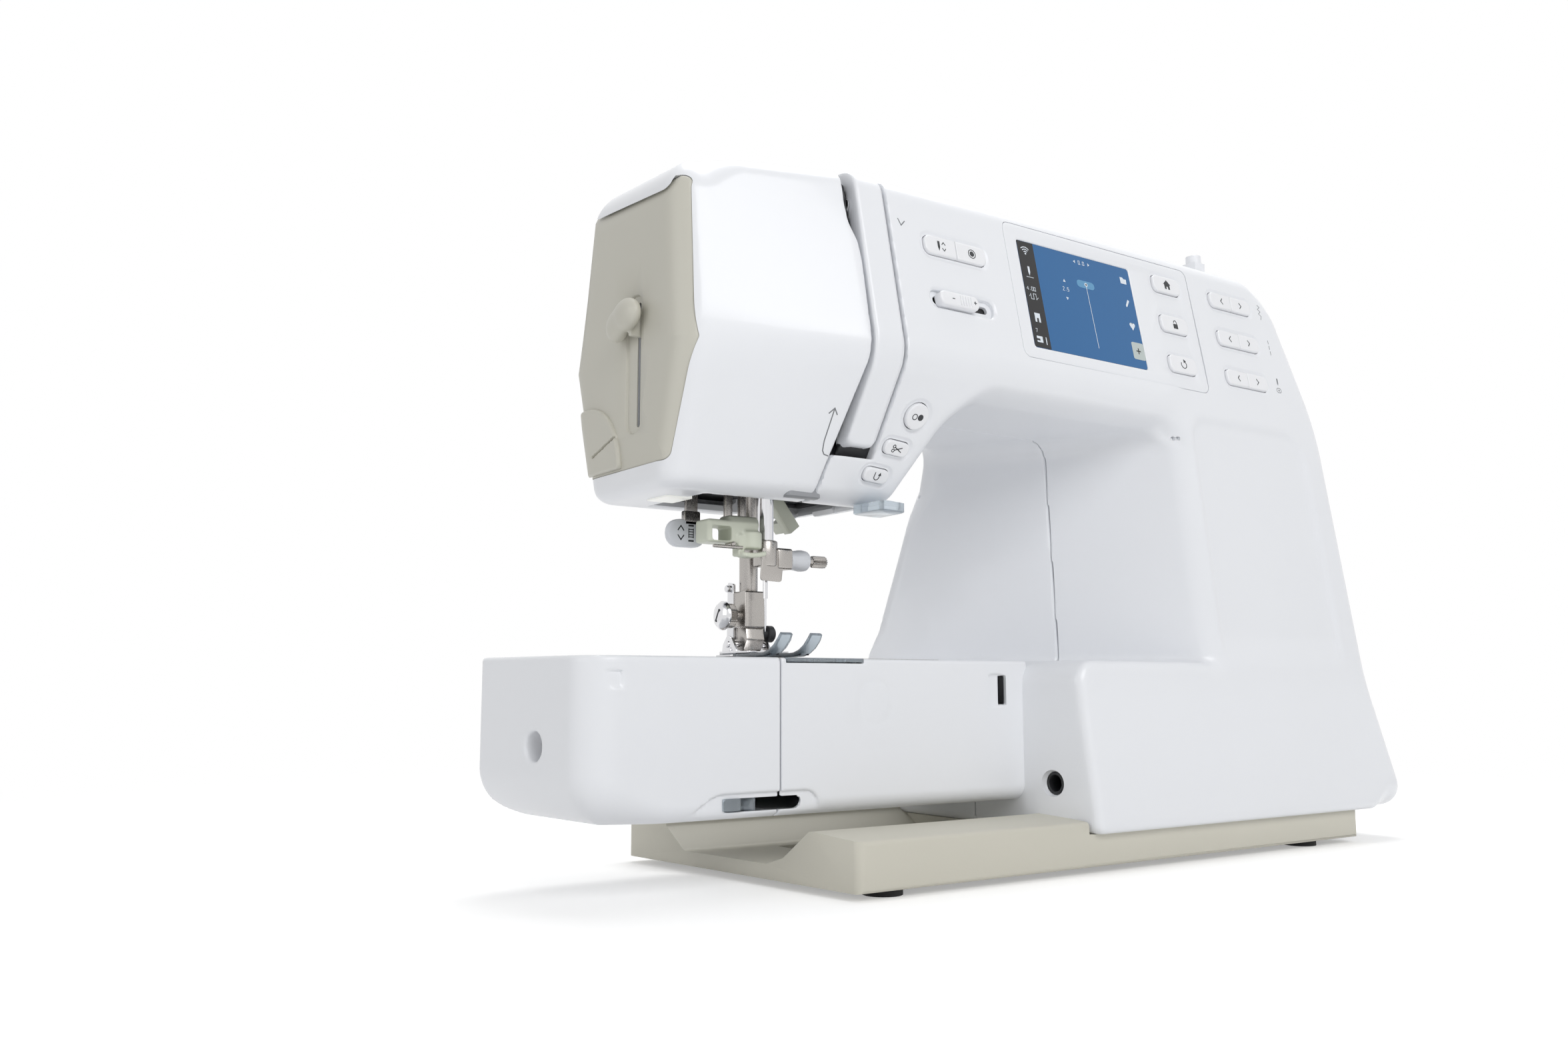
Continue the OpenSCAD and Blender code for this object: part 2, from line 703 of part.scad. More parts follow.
// ---- display and keys ------------------------------------------------------------------------
module screen_bezel() {
    color(white) place() difference() {
        bezel_outline(-0.6, -bezel_depth, 0);
        screen_opening(0);
        key_holes();
    }
}
module screen() {
    color([0.1, 0.4, 0.6]) place() on_upper(screen_x, screen_s) translate([0, 0, -bezel_depth - 1])
        linear_extrude(bezel_depth + 0.6) rounded_rect(screen_w, screen_h, 1.5);
}
module home_key() { color(white) place() menu_key(menu_s[0], 0, -key_depth, key_proud); }
module lock_key() { color(white) place() menu_key(menu_s[1], 0, -key_depth, key_proud); }
module clear_key() { color(white) place() menu_key(menu_s[2], 0, -key_depth, key_proud); }
module width_keys() { color(white) place() arrow_pair(arrow_s[0], 0, -key_depth, key_proud); }
module length_keys() { color(white) place() arrow_pair(arrow_s[1], 0, -key_depth, key_proud); }
module position_keys() { color(white) place() arrow_pair(arrow_s[2], 0, -key_depth, key_proud); }
module needle_keys() { color(white) place() needle_pair(0, -key_depth, key_proud); }
module start_stop_key() { color(white) place() start_stop(0, -key_depth, key_proud); }
module cutter_key() { color(white) place() lower_pill(35.3, -40, 13, 6.3, 0, -key_depth, key_proud); }
module reverse_key() { color(white) place() lower_pill(29.8, -53, 13, 6.3, 0, -key_depth, key_proud); }
module speed_slider() {
    color(white) place() {
        upper_pill(slider_knob_x, slider_s, 22, 6.2, 0, -key_depth, 0.4);
        upper_pill(slider_knob_x, slider_s, 10, 6.2, 0, -1, 2);
        // the carriage under the slot
        on_upper(slider_knob_x, slider_s) translate([-14, -6, -key_depth - 2]) cube([28, 12, 2]);
    }
}
module circuit_board() {
    color([0.1, 0.35, 0.2]) place() on_upper(screen_x + 18, screen_s) {
        translate([-62.5, -30, -board_depth]) cube([125, 60, 1.6]);
        translate([-20, -12, -board_depth + 1.6]) cube([16, 16, 2]);
        translate([14, -20, -board_depth + 1.6]) cube([10, 6, 2]);
        // the posts that carry the board on the housing's front
        for (x = [-58, 60.5], y = [-26, 26]) translate([x, y, -board_depth + 1.6])
            cylinder(h = board_depth - 1.6 - wall, d = 4);
    }
}

// ---- cast frame, shafts and drive ---------------------------------------------------------------
module shaft_bore(x0, x1) { disc_x(x0, x1, 0, shaft_z, shaft_d + 2 * running); }
module lower_bore(x0, x1) { disc_x(x0, x1, lower_shaft_y, lower_shaft_z, lower_d + 2 * running); }
module cast_frame() {
    color([0.6, 0.61, 0.63]) place() difference() {
        union() {
            block(-30, right_x - 43, frame_y, frame_y + frame_t, 214, top_z - 25);
            block(-42, 24, frame_y, frame_y + frame_t, head_bottom_z + 10, top_z - 25);
            block(-8, 8, -8, frame_y, 163, 181);
            block(-8, 8, -8, frame_y, top_z - 29, top_z - 13);
            block(-8, 8, -8, 8, top_z - 14, top_z - 6);
            block(-40, -8, -5, frame_y, 186, 194);
            for (x = upper_webs) block(x, x + 8, -14, frame_y, shaft_z - 14, shaft_z + 14);
            block(motor_x + 16, right_x - 45, frame_y, frame_y + frame_t, housing_z + wall, 214);
            block(-14, right_x - 45, frame_y, frame_y + frame_t, 36, 66);
            for (x = lower_webs) block(x, x + 8, lower_shaft_y - 10, frame_y, lower_shaft_z - 10,
                lower_shaft_z + 10);
            block(-9, 9, hook_y - 9, frame_y, 60, 66);
            // the motor's cradle
            block(motor_x + 16, motor_x + 46, motor_y + 10, frame_y, motor_z - 14,
                motor_z + 14);
            // the pivots of the presser lifter and the take-up lever
            disc_y(17.5, frame_y, lifter_x, lifter_z, 5);
            block(14, 20, take_up_y - 6, take_up_y + 6, take_up_z - 6, top_z - 6);
            block(-8, 20, take_up_y - 6, -8, top_z - 12, top_z - 6);
            disc_x(cover_edge_x, 14, take_up_y, take_up_z, 4);
        }
        for (x = upper_webs) shaft_bore(x - 1, x + 9);
        for (x = lower_webs) lower_bore(x - 1, x + 9);
        disc_z(100, 300, 0, 0, needle_bar_d + 2 * running);
        disc_z(100, 290, 0, presser_y, presser_bar_d + 2 * running);
        disc_z(59, 67, 0, hook_y, spindle_d + 2 * running);
        disc_z(180, 200, threader_x, 0, threader_rod_d + 2 * running);
        block(-35 - gap, -29 + gap, 9 - gap, 11 + gap, 180, 200);
        disc_x(motor_x + 14, motor_x + 48, motor_y, motor_z, motor_d);
    }
}
module main_shaft() {
    color(steel) place() {
        difference() {
            disc_x(crank_x, shaft_end_x + 22, 0, shaft_z, shaft_d);
            disc_x(crank_x - 1, crank_x + 10, 0, shaft_z, shaft_d - 1);
        }
        difference() {
            disc_x(crank_x, crank_x + 8, 0, shaft_z, 2 * crank_r);
            disc_x(crank_x - 1, crank_x + 9, -12, shaft_z, 8);
        }
        difference() {
            disc_x(timing_x, timing_x + 8, 0, shaft_z, 2 * timing_r);
            disc_x(timing_x - 1, timing_x + 9, 0, shaft_z, shaft_d);
        }
        difference() {
            disc_x(drive_x, drive_x + 8, 0, shaft_z, 2 * drive_r);
            disc_x(drive_x - 1, drive_x + 9, 0, shaft_z, shaft_d);
        }
    }
}
module handwheel() {
    color(white) place() translate([wheel_x, 0, shaft_z]) rotate([0, 90, 0]) difference() {
        rotate_extrude() polygon(rounded([[shaft_d / 2, 0, 0], [handwheel_d / 2, 0, 3],
            [handwheel_d / 2, 15, 4], [handwheel_d / 2 - 10, 17, 3], [shaft_d / 2, 14, 0]]));
        for (a = [0:15:345]) rotate([0, 0, a]) translate([handwheel_d / 2 + 1, 0, -1])
            cylinder(h = 20, d = 4);
    }
}
module motor() {
    color([0.3, 0.3, 0.32]) place() difference() {
        disc_x(motor_x, motor_x + 50, motor_y, motor_z, motor_d);
        disc_x(motor_x - 1, motor_x + 51, motor_y, motor_z, rotor_d + 2 * running);
        for (a = [0:30:330]) translate([0, motor_y, motor_z]) rotate([a, 0, 0])
            block(motor_x - 1, motor_x + 4, 14, 18, -1.5, 1.5);
    }
}
module motor_rotor() {
    color(steel) place() {
        disc_x(motor_x + 20, drive_x, motor_y, motor_z, rotor_d);
        disc_x(drive_x, drive_x + 8, motor_y, motor_z, 2 * pinion_r);
    }
}
// A belt's outline round two pulleys, [y, z, r] each.
function belt_points(a, b) = let (d = xy(b) - xy(a), t = atan2(d.y, d.x), k = asin((a.z - b.z) / norm(d)))
    [for (i = [0:24]) let (g = t + 90 - k + i * (180 + 2 * k) / 24) xy(a) + a.z * [cos(g), sin(g)],
     for (i = [0:24]) let (g = t - 90 + k + i * (180 - 2 * k) / 24) xy(b) + b.z * [cos(g), sin(g)]];
function grown(p, g) = [p.x, p.y, p.z + g];
module belt(x0, x1, a, b) {
    along_x(x0, x1) difference() {
        polygon(belt_points(grown(a, 2), grown(b, 2)));
        polygon(belt_points(grown(a, gap), grown(b, gap)));
    }
}
module belts() {
    color([0.15, 0.15, 0.15]) place() {
        belt(drive_x + 1, drive_x + 7, [motor_y, motor_z, pinion_r], [0, shaft_z, drive_r]);
        belt(timing_x + 1, timing_x + 7, [lower_shaft_y, lower_shaft_z, timing_r],
            [0, shaft_z, timing_r]);
    }
}
module lower_shaft() {
    color(steel) place() {
        disc_x(-6, timing_x + 10, lower_shaft_y, lower_shaft_z, lower_d);
        difference() {
            union() {
                disc_x(-4, 4, lower_shaft_y, lower_shaft_z, 2 * hook_gear_r);
                disc_x(timing_x, timing_x + 8, lower_shaft_y, lower_shaft_z, 2 * timing_r);
            }
            disc_x(-7, timing_x + 11, lower_shaft_y, lower_shaft_z, lower_d);
        }
    }
}
module hook() {
    color(steel) place() {
        disc_z(41, hook_z, 0, hook_y, spindle_d);
        difference() {
            disc_z(lower_shaft_z - 4, lower_shaft_z + 4, 0, hook_y, 2 * hook_gear_r);
            disc_z(0, 100, 0, hook_y, spindle_d);
        }
        difference() {
            disc_z(hook_z, hook_top_z, 0, hook_y, 2 * hook_r);
            disc_z(hook_z + 2, big, 0, hook_y, 2 * hook_r - 3);
            // the gap in front of the point
            translate([0, hook_y, hook_top_z - 6]) rotate([0, 0, 20]) block(0, 20, -4, 4, 0, 10);
        }
    }
}
module bobbin_case() {
    color([0.2, 0.2, 0.22]) place() difference() {
        union() {
            disc_z(hook_z + 2 + gap, hook_top_z + 0.6, 0, hook_y, 2 * case_r);
            block(case_r - 4, case_r + 6, hook_y - 4, hook_y + 4, hook_top_z + gap, hook_top_z + 1.6);
        }
        disc_z(hook_z + 4, big, 0, hook_y, 2 * (bobbin_r + bobbin_play));
    }
}
module bobbin() {
    color([0.85, 0.87, 0.9]) place() difference() {
        union() {
            disc_z(bobbin_z, bobbin_z + 1, 0, hook_y, 2 * bobbin_r);
            disc_z(bobbin_z, bobbin_z + 11.5, 0, hook_y, 9);
            disc_z(bobbin_z + 10.5, bobbin_z + 11.5, 0, hook_y, 2 * bobbin_r);
        }
        disc_z(0, big, 0, hook_y, 6);
    }
}

// ---- needle, presser and threader -----------------------------------------------------------
module needle_bar() {
    color(steel) place() {
        disc_z(bar_end_z, top_z - 9, 0, 0, needle_bar_d);
        difference() {
            block(-6, crank_x - 2 * gap, -6, 6, shaft_z - 4, shaft_z + 4);
            disc_z(0, big, 0, 0, needle_bar_d);
        }
    }
}
module needle_clamp() {
    color(steel) place() {
        difference() {
            union() {
                disc_z(clamp_z, bar_end_z + 4, 0, 0, 11);
                disc_x(4, 14, 0, clamp_z + 4, 3);
                disc_x(13.5, 31, 0, clamp_z + 4, 5);
                block(-4.5, 4.5, -9, -2, clamp_z + 1, clamp_z + 3);
            }
            disc_z(bar_end_z, big, 0, 0, needle_bar_d);
            disc_z(0, bar_end_z + 1, 0, 0, needle_d);
        }
    }
}
module needle() {
    color(steel) place() {
        disc_z(needle_tip_z + 14, bar_end_z, 0, 0, needle_d);
        translate([0, 0, needle_tip_z + 3]) cylinder(h = 11, d = 1);
        translate([0, 0, needle_tip_z]) cylinder(h = 3, d1 = 0.2, d2 = 1);
    }
}
module presser_bar() {
    color(steel) place() {
        disc_z(presser_end_z, 281, 0, presser_y, presser_bar_d);
        difference() {
            block(-7, 10, presser_y - 5, presser_y + 6, 200, 208);
            disc_z(0, big, 0, presser_y, presser_bar_d);
        }
    }
}
module presser_lifter() {
    color([0.85, 0.86, 0.84]) place() translate([lifter_x, 0, lifter_z]) difference() {
        union() {
            disc_y(18, 24, 0, 0, 10);
            rotate([0, 52, 0]) block(3.6, 24, 18.5, 23.5, -3, 3);
            rotate([0, 52, 0]) block(18, 23.5, 22, 31, -2.5, 2.5);
        }
        disc_y(10, 40, 0, 0, 5 + 2 * running);
    }
}
module foot_ankle() {
    color(steel) place() {
        difference() {
            block(-5.5, 5.5, presser_y - 6, presser_y + 6, presser_end_z - 13, presser_end_z + 12);
            disc_z(presser_end_z, big, 0, presser_y, presser_bar_d);
            block(-20, 20, presser_y - 10, presser_y - 1, presser_end_z - 14, presser_end_z - 5);
        }
        // the thumb screw
        disc_x(-16, -5.5, presser_y, presser_end_z + 1, 8);
        disc_x(-9, -5.5, presser_y, presser_end_z + 1, 5);
        // the pin that the foot tilts on
        disc_x(-7, -5.5, presser_y + 2, foot_pin_z, 3);
        disc_x(5.5, 7, presser_y + 2, foot_pin_z, 3);
        // the release button on the ankle's right
        disc_x(5.5, 9, presser_y - 1, presser_end_z - 2, 6);
    }
}
module presser_foot() {
    color(steel) place() difference() {
        union() {
            block(-foot_w / 2, -4.6, -18, 22, bed_z + foot_gap, bed_z + 2.4);
            block(4.6, foot_w / 2, -18, 22, bed_z + foot_gap, bed_z + 2.4);
            block(-4.7, 4.7, 4, 22, bed_z + foot_gap, bed_z + 2.4);
            block(-4.7, 4.7, -14, -10, bed_z + foot_gap, bed_z + 2.4);
            for (x = [-11, 7.3]) block(x, x + 3.7, presser_y - 3, presser_y + 7, bed_z + 2,
                foot_pin_z + 3.5);
        }
        block(-3.6, 3.6, -9, 3, 0, big);
        disc_x(-20, 20, presser_y + 2, foot_pin_z, 3 + 2 * running);
    }
}
module take_up_lever() {
    color(steel) place() difference() {
        along_x(cover_edge_x + 0.3, strip_x0 - 0.3) difference() {
            polygon(rounded([[take_up_y + 5, take_up_z - 5, 3], [take_up_y - 4, take_up_z - 5, 3],
                [-46, take_up_z + 3, 2], [-49, take_up_z + 10, 2], [-44, take_up_z + 12, 2],
                [take_up_y + 4, take_up_z + 5, 3]]));
            translate([-45.5, take_up_z + 8]) circle(d = 2.4);
        }
        disc_x(0, 20, take_up_y, take_up_z, 4 + 2 * running);
    }
}
module threader_lever() {
    color(beige) place() {
        along_x(-head_left - 8, -head_left - gap) translate([-3, 224]) rounded_rect(20, 14, 5);
        along_x(-head_left - gap, -head_left + wall + gap) translate([-3, 224])
            rounded_rect(7 - 2 * gap, 12, 2);
        along_x(-head_left + wall + gap, -head_left + wall + 3) translate([-3, 224])
            rounded_rect(14, 20, 2);
    }
}
module threader_bracket() {
    color([0.82, 0.85, 0.78]) place() {
        disc_z(147, 222, threader_x, 0, threader_rod_d);
        difference() {
            block(-32, -8, -7, 3, 137, 147);
            block(-29, -11, -8, -3, 139, 145);
        }
        block(-32.5, -7.5, -10, -6.5, 138, 142);
        disc_z(131, 137, -11, -3, 4);
    }
}
module buttonhole_lever() {
    color([0.82, 0.85, 0.78]) place() {
        block(-35, -29, 9, 11, 148, 232);
        along_y(8, 12) translate([-32, 143]) rounded_rect(14, 10, 3);
    }
}
module lamp() {
    color([0.95, 0.95, 0.9]) place() {
        block(lamp_x - 6, lamp_x + 6, -8, 8, head_bottom_z - 0.6, head_bottom_z + wall);
        block(lamp_x - 6.6, lamp_x + 8, -8.6, 8.6, head_bottom_z + wall, head_bottom_z + wall + 2);
    }
}
module feed_dog() {
    color(steel) place() {
        for (x = [-6.2, 6.2]) difference() {
            block(x - 1.6, x + 1.6, feed_y0, 12, 87.9, feed_top_z);
            for (i = [0:10]) translate([x - 2, feed_y0 + 0.4 + 1.6 * i, feed_top_z])
                rotate([45, 0, 0]) cube([4, 0.8, 0.8]);
        }
        block(-7.8, 7.8, 4, 12, 78, 87.9);
    }
}
module feed_drop_lever() {
    color([0.8, 0.84, 0.88]) place() {
        block(-50, -26, -arm_front + 3, -arm_front + 6, 32, 37.4);
        block(-42, -34, -arm_front + 0.6, -arm_front + 3, 32.4, 37);
    }
}

// ---- top fittings, sockets and screws ---------------------------------------------------------
module winder_spindle() {
    color(steel) place() {
        disc_z(top_z - 15, top_z + 10, winder_x, winder_y, spindle_d);
        disc_z(top_z + 3, top_z + 5, winder_x, winder_y, 14);
    }
}
module winder_stop() {
    color(white) place() {
        block(winder_x + 20, winder_x + 28, winder_y - 12, winder_y - 4, top_z - 8, top_z + 10);
        disc_z(top_z + 10, top_z + 14, winder_x + 24, winder_y - 8, 8);
    }
}
module spool_pin() {
    color(white) place() disc_x(72 + wall, 186, spool_y, spool_z, 6);
}
module spool_cap() {
    color(white) place() difference() {
        union() {
            disc_x(160, 163, spool_y, spool_z, 26);
            disc_x(163, 176, spool_y, spool_z, 12);
        }
        disc_x(150, 190, spool_y, spool_z, 6 + 2 * running);
    }
}
module carrying_handle() {
    color(white) place() {
        for (x = handle_pivots) difference() {
            along_x(x - 5, x + 5) polygon(rounded([[handle_y - 21, handle_z - 2, 2],
                [handle_y - 21, handle_z + 3, 2],
                [handle_y + 4, handle_z + 3, 2.5], [handle_y + 4, handle_z - 3, 2.5]]));
            disc_x(x - 6, x + 6, handle_y, handle_z, 3 + 2 * running);
        }
        block(handle_pivots[0] + 5, handle_pivots[1] - 5, handle_y - 20.5, handle_y - 11,
            handle_z - 1.5, handle_z + 2.5);
    }
}
module socket_panel() {
    color([0.3, 0.3, 0.32]) place() on_side(socket_y, socket_z) difference() {
        union() {
            translate([0, 0, -wall]) linear_extrude(wall) socket_outline(0);
            translate([0, -14, -24]) linear_extrude(22) rounded_rect(30, 24, 2);
        }
        translate([0, -14, -20]) linear_extrude(22) rounded_rect(24, 16, 2);
        translate([-12, 8, -wall - 1]) cylinder(h = 4 * wall, d = 6);
        translate([12, 8, -wall - 1]) linear_extrude(4 * wall) rounded_rect(12, 5, 0.5);
        translate([0, 22, -wall - 1]) linear_extrude(4 * wall)
            rounded_rect(rocker_w + 2 * gap, rocker_h + 2 * gap, 1);
    }
}
module power_switch() {
    color([0.15, 0.15, 0.16]) place() on_side(socket_y, socket_z) translate([0, 22, 0])
        translate([0, 0, -8]) linear_extrude(9.2) rounded_rect(rocker_w, rocker_h, 1);
}
module screws() {
    color(steel) place() {
        side_screws(8, plinth_top - 8, plinth_top - 5);
        side_screws(screw_d, plinth_top - 5, plinth_top + 6);
        disc_x(-98, -95, 0, screw_z, 8);
        disc_x(-95, -84, 0, screw_z, screw_d);
    }
}

base();
rubber_feet();
front_housing();
rear_housing();
top_cover();
head_cover();
side_panel();
thread_strip();
free_arm_shell();
free_arm_end();
knee_socket();
needle_plate();
bobbin_cover();
screen_bezel();
screen();
cast_frame();
main_shaft();
handwheel();
motor();
motor_rotor();
belts();
lower_shaft();
hook();
bobbin_case();
bobbin();
needle_bar();
needle_clamp();
needle();
presser_bar();
presser_lifter();
foot_ankle();
presser_foot();
take_up_lever();
threader_lever();
threader_bracket();
buttonhole_lever();
thread_cutter();
lamp();
feed_dog();
feed_drop_lever();
speed_slider();
start_stop_key();
cutter_key();
reverse_key();
needle_keys();
home_key();
lock_key();
clear_key();
width_keys();
length_keys();
position_keys();
winder_spindle();
winder_stop();
spool_pin();
spool_cap();
carrying_handle();
power_switch();
socket_panel();
circuit_board();
screws();
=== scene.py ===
"""Computerised free-arm sewing machine, dressed for rendering.

Lengths are in millimetres and positions in needle coordinates while pieces are drawn: the
needle's axis is x = 0, y = 0, +x runs to the handwheel, +y to the back and z = 0 is the table.
place() turns them into the model's own frame, in metres.
"""

import math

import bpy
import numpy as np
from mathutils import Euler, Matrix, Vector


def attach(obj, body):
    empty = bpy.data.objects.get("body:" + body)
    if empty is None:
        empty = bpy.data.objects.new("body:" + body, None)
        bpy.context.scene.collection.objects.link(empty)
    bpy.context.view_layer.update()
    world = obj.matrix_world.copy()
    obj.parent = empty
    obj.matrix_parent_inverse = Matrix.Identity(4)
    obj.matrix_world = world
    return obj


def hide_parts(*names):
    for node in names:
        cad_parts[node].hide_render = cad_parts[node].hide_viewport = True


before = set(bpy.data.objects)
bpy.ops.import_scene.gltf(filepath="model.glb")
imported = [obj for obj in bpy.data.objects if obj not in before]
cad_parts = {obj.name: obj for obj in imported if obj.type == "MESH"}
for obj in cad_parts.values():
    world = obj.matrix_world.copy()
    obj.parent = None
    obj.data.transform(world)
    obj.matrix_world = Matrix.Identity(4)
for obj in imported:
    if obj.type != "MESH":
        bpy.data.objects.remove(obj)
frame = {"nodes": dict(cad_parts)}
scene = bpy.context.scene
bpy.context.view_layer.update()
nodes = frame["nodes"]

NEEDLE_TO_MIDDLE = np.array([125.0, 5.20657, 0.0])
WALL = 3.8  # the housing's thickness


def place(points):
    """Needle coordinates in millimetres to the model's frame in metres."""
    return (np.asarray(points, float) - NEEDLE_TO_MIDDLE) / 1000.0


# ---- materials ----


def rgb(r, g, b):
    """An sRGB colour, 0 to 255, as linear RGBA."""
    out = []
    for c in (r, g, b):
        c /= 255.0
        out.append(c / 12.92 if c <= 0.04045 else ((c + 0.055) / 1.055) ** 2.4)
    return (*out, 1.0)


def shader(nodes, kind, values=None, **settings):
    """A shader node with its inputs' values and its settings."""
    node = nodes.new("ShaderNode" + kind)
    for key, value in (values or {}).items():
        node.inputs[key].default_value = value
    for key, value in settings.items():
        setattr(node, key, value)
    return node


def shader_tree(owner):
    owner.use_nodes = True
    return owner.node_tree.nodes, owner.node_tree.links


SLOTS = {}


def material(name, color, rough=0.35, metal=0.0, coat=0.0, grain=900.0, bump=0.02, tone=0.03,
             rough_vary=0.06, ior=1.5, transmission=0.0, emission=0.0, slot="dark_plastic"):
    """A moulded or machined surface: a fine grain in the bump and roughness, a faint tone shift.
    slot names a material slot, which is kept in SLOTS under the material's name."""
    m = bpy.data.materials.new(name)
    SLOTS[m.name] = slot
    n, link = shader_tree(m)
    b = n["Principled BSDF"]
    for key, value in (("Metallic", metal), ("IOR", ior), ("Coat Weight", coat),
                       ("Coat Roughness", 0.08), ("Transmission Weight", transmission)):
        b.inputs[key].default_value = value
    coords = n.new("ShaderNodeTexCoord")
    broad = shader(n, "TexNoise", {"Scale": 14.0, "Detail": 3.0})
    link.new(coords.outputs["Object"], broad.inputs["Vector"])
    shades = n.new("ShaderNodeValToRGB")
    darker, lighter = shades.color_ramp.elements
    darker.position, lighter.position = 0.3, 0.7
    darker.color = tuple(c * (1 - tone) for c in color[:3]) + (1,)
    lighter.color = color
    link.new(broad.outputs["Fac"], shades.inputs["Fac"])
    link.new(shades.outputs["Color"], b.inputs["Base Color"])
    fine = shader(n, "TexNoise", {"Scale": grain, "Detail": 2.0})
    link.new(coords.outputs["Object"], fine.inputs["Vector"])
    spread = shader(n, "MapRange", {"To Min": rough - rough_vary / 2,
                                    "To Max": rough + rough_vary / 2})
    link.new(fine.outputs["Fac"], spread.inputs["Value"])
    link.new(spread.outputs["Result"], b.inputs["Roughness"])
    if bump:
        relief = shader(n, "Bump", {"Strength": bump, "Distance": 0.0004})
        link.new(fine.outputs["Fac"], relief.inputs["Height"])
        link.new(relief.outputs["Normal"], b.inputs["Normal"])
    if emission:
        b.inputs["Emission Strength"].default_value = emission
        link.new(shades.outputs["Color"], b.inputs["Emission Color"])
    return m


def flat(name, color, rough=0.5, tone=0.05, slot="dark_plastic"):
    """A print or a lit patch, without grain."""
    return material(name, color, rough, bump=0.0, tone=tone, slot=slot)


WHITE = material("white_shell", rgb(240, 242, 246), 0.34, coat=0.25, grain=1400, bump=0.015,
                 tone=0.012, slot="white_plastic")
KEY = material("white_key", rgb(242, 243, 246), 0.3, coat=0.2, grain=1500, tone=0.015,
               slot="white_plastic")
BEIGE = material("beige_panel", rgb(203, 201, 190), 0.42, grain=1200, bump=0.05, tone=0.02,
                 slot="beige_plastic")
CREAM = material("cream_base", rgb(212, 209, 196), 0.48, grain=1000, bump=0.08, tone=0.02)
PALE = material("pale_green_plastic", rgb(212, 216, 200), 0.4, grain=1000, bump=0.04,
                slot="pale_plastic")
DARK = material("dark_plastic", rgb(38, 39, 42), 0.5, bump=0.06, tone=0.1)
SOFT = material("soft_white", rgb(222, 225, 230), 0.4, grain=1000, bump=0.03, tone=0.02,
                slot="white_plastic")
GREY = material("grey_plastic", rgb(150, 152, 156), 0.45, bump=0.06, tone=0.05)
RUBBER = material("black_rubber", rgb(30, 30, 31), 0.75, grain=700, bump=0.2, tone=0.15)
STEEL = material("brushed_steel", rgb(182, 178, 174), 0.28, metal=1.0, grain=1600, bump=0.05,
                 tone=0.12, rough_vary=0.14, slot="steel")
CHROME = material("chrome", rgb(222, 222, 224), 0.12, metal=1.0, grain=800, bump=0.01, tone=0.05,
                  slot="chrome")
CASTING = material("cast_alloy", rgb(140, 142, 146), 0.55, metal=0.8, grain=500, bump=0.3, tone=0.2)
BOARD = material("green_board", rgb(28, 84, 52), 0.4, grain=600, bump=0.1, tone=0.2)
CLEAR = material("clear_plastic", rgb(214, 224, 232), 0.12, bump=0.01, tone=0.04,
                 transmission=0.75, ior=1.46, slot="clear_plastic")
LENS = material("lamp_lens", rgb(250, 250, 244), 0.3, tone=0.02, emission=0.15)
INK = flat("grey_print", rgb(128, 130, 134))
INK_DARK = flat("dark_print", rgb(44, 46, 50))
SCREEN_BLUE = flat("screen_blue", rgb(22, 98, 156), 0.22, 0.03, "display")
SCREEN_BLACK = flat("screen_black", rgb(12, 13, 16), 0.2, 0.1, "display")
SCREEN_MID = flat("screen_mid", rgb(92, 152, 194), 0.3, 0.02, "display")
SCREEN_GREY = flat("screen_grey", rgb(190, 200, 198), 0.3, 0.02, "display")
SCREEN_LIGHT = flat("screen_light", rgb(228, 236, 244), 0.3, 0.02, "display")

# ---- signed distance shells ----


def ramp(t, w):
    """max(t, 0), rounded over -w to w."""
    return np.where(t < -w, 0, np.where(t > w, t, (t + w) ** 2 / (4 * w)))


def step(t):
    """A smooth step over 0 to 1."""
    t = np.clip(t, 0, 1)
    return t * t * (3 - 2 * t)


def both(a, b, r):
    """The intersection of two solids, with its edge rounded by r."""
    return np.minimum(-r, np.maximum(a, b)) + np.hypot(np.maximum(r + a, 0), np.maximum(r + b, 0))


def either(a, b, r):
    """The union of two solids, with its inner corner filled by r."""
    return -both(-a, -b, r)


def less(a, b, r):
    """a without b, with the rim rounded by r."""
    return both(a, -b, r)


def all_of(*fields):
    """The intersection of solids, with sharp edges."""
    out = fields[0]
    for f in fields[1:]:
        out = np.maximum(out, f)
    return out


def box(x, y, z, lo, hi):
    """A box's distance; an end left None is open."""
    return all_of(*[s * (v - e) for v, ends in zip((x, y, z), zip(lo, hi))
                    for e, s in zip(ends, (-1, 1)) if e is not None])


def block(x, y, z, middle, half_size, r, rim):
    """A block about its middle; r rounds the edges along z, and rim those round its two ends."""
    a, b, c = (np.abs(v - m) - h for v, m, h in zip((x, y, z), middle, half_size))
    return both(both(a, b, r), c, rim)


BLOCK = 8  # grid cells along a block's edge
BLOCKS_AT_ONCE = 400
REACH = 0.85  # a block is kept if its middle is nearer the surface than this part of its diagonal
PROBE = 0.02  # the step for slopes, in millimetres
LEASH = 0.7  # how far a vertex may move, in cells


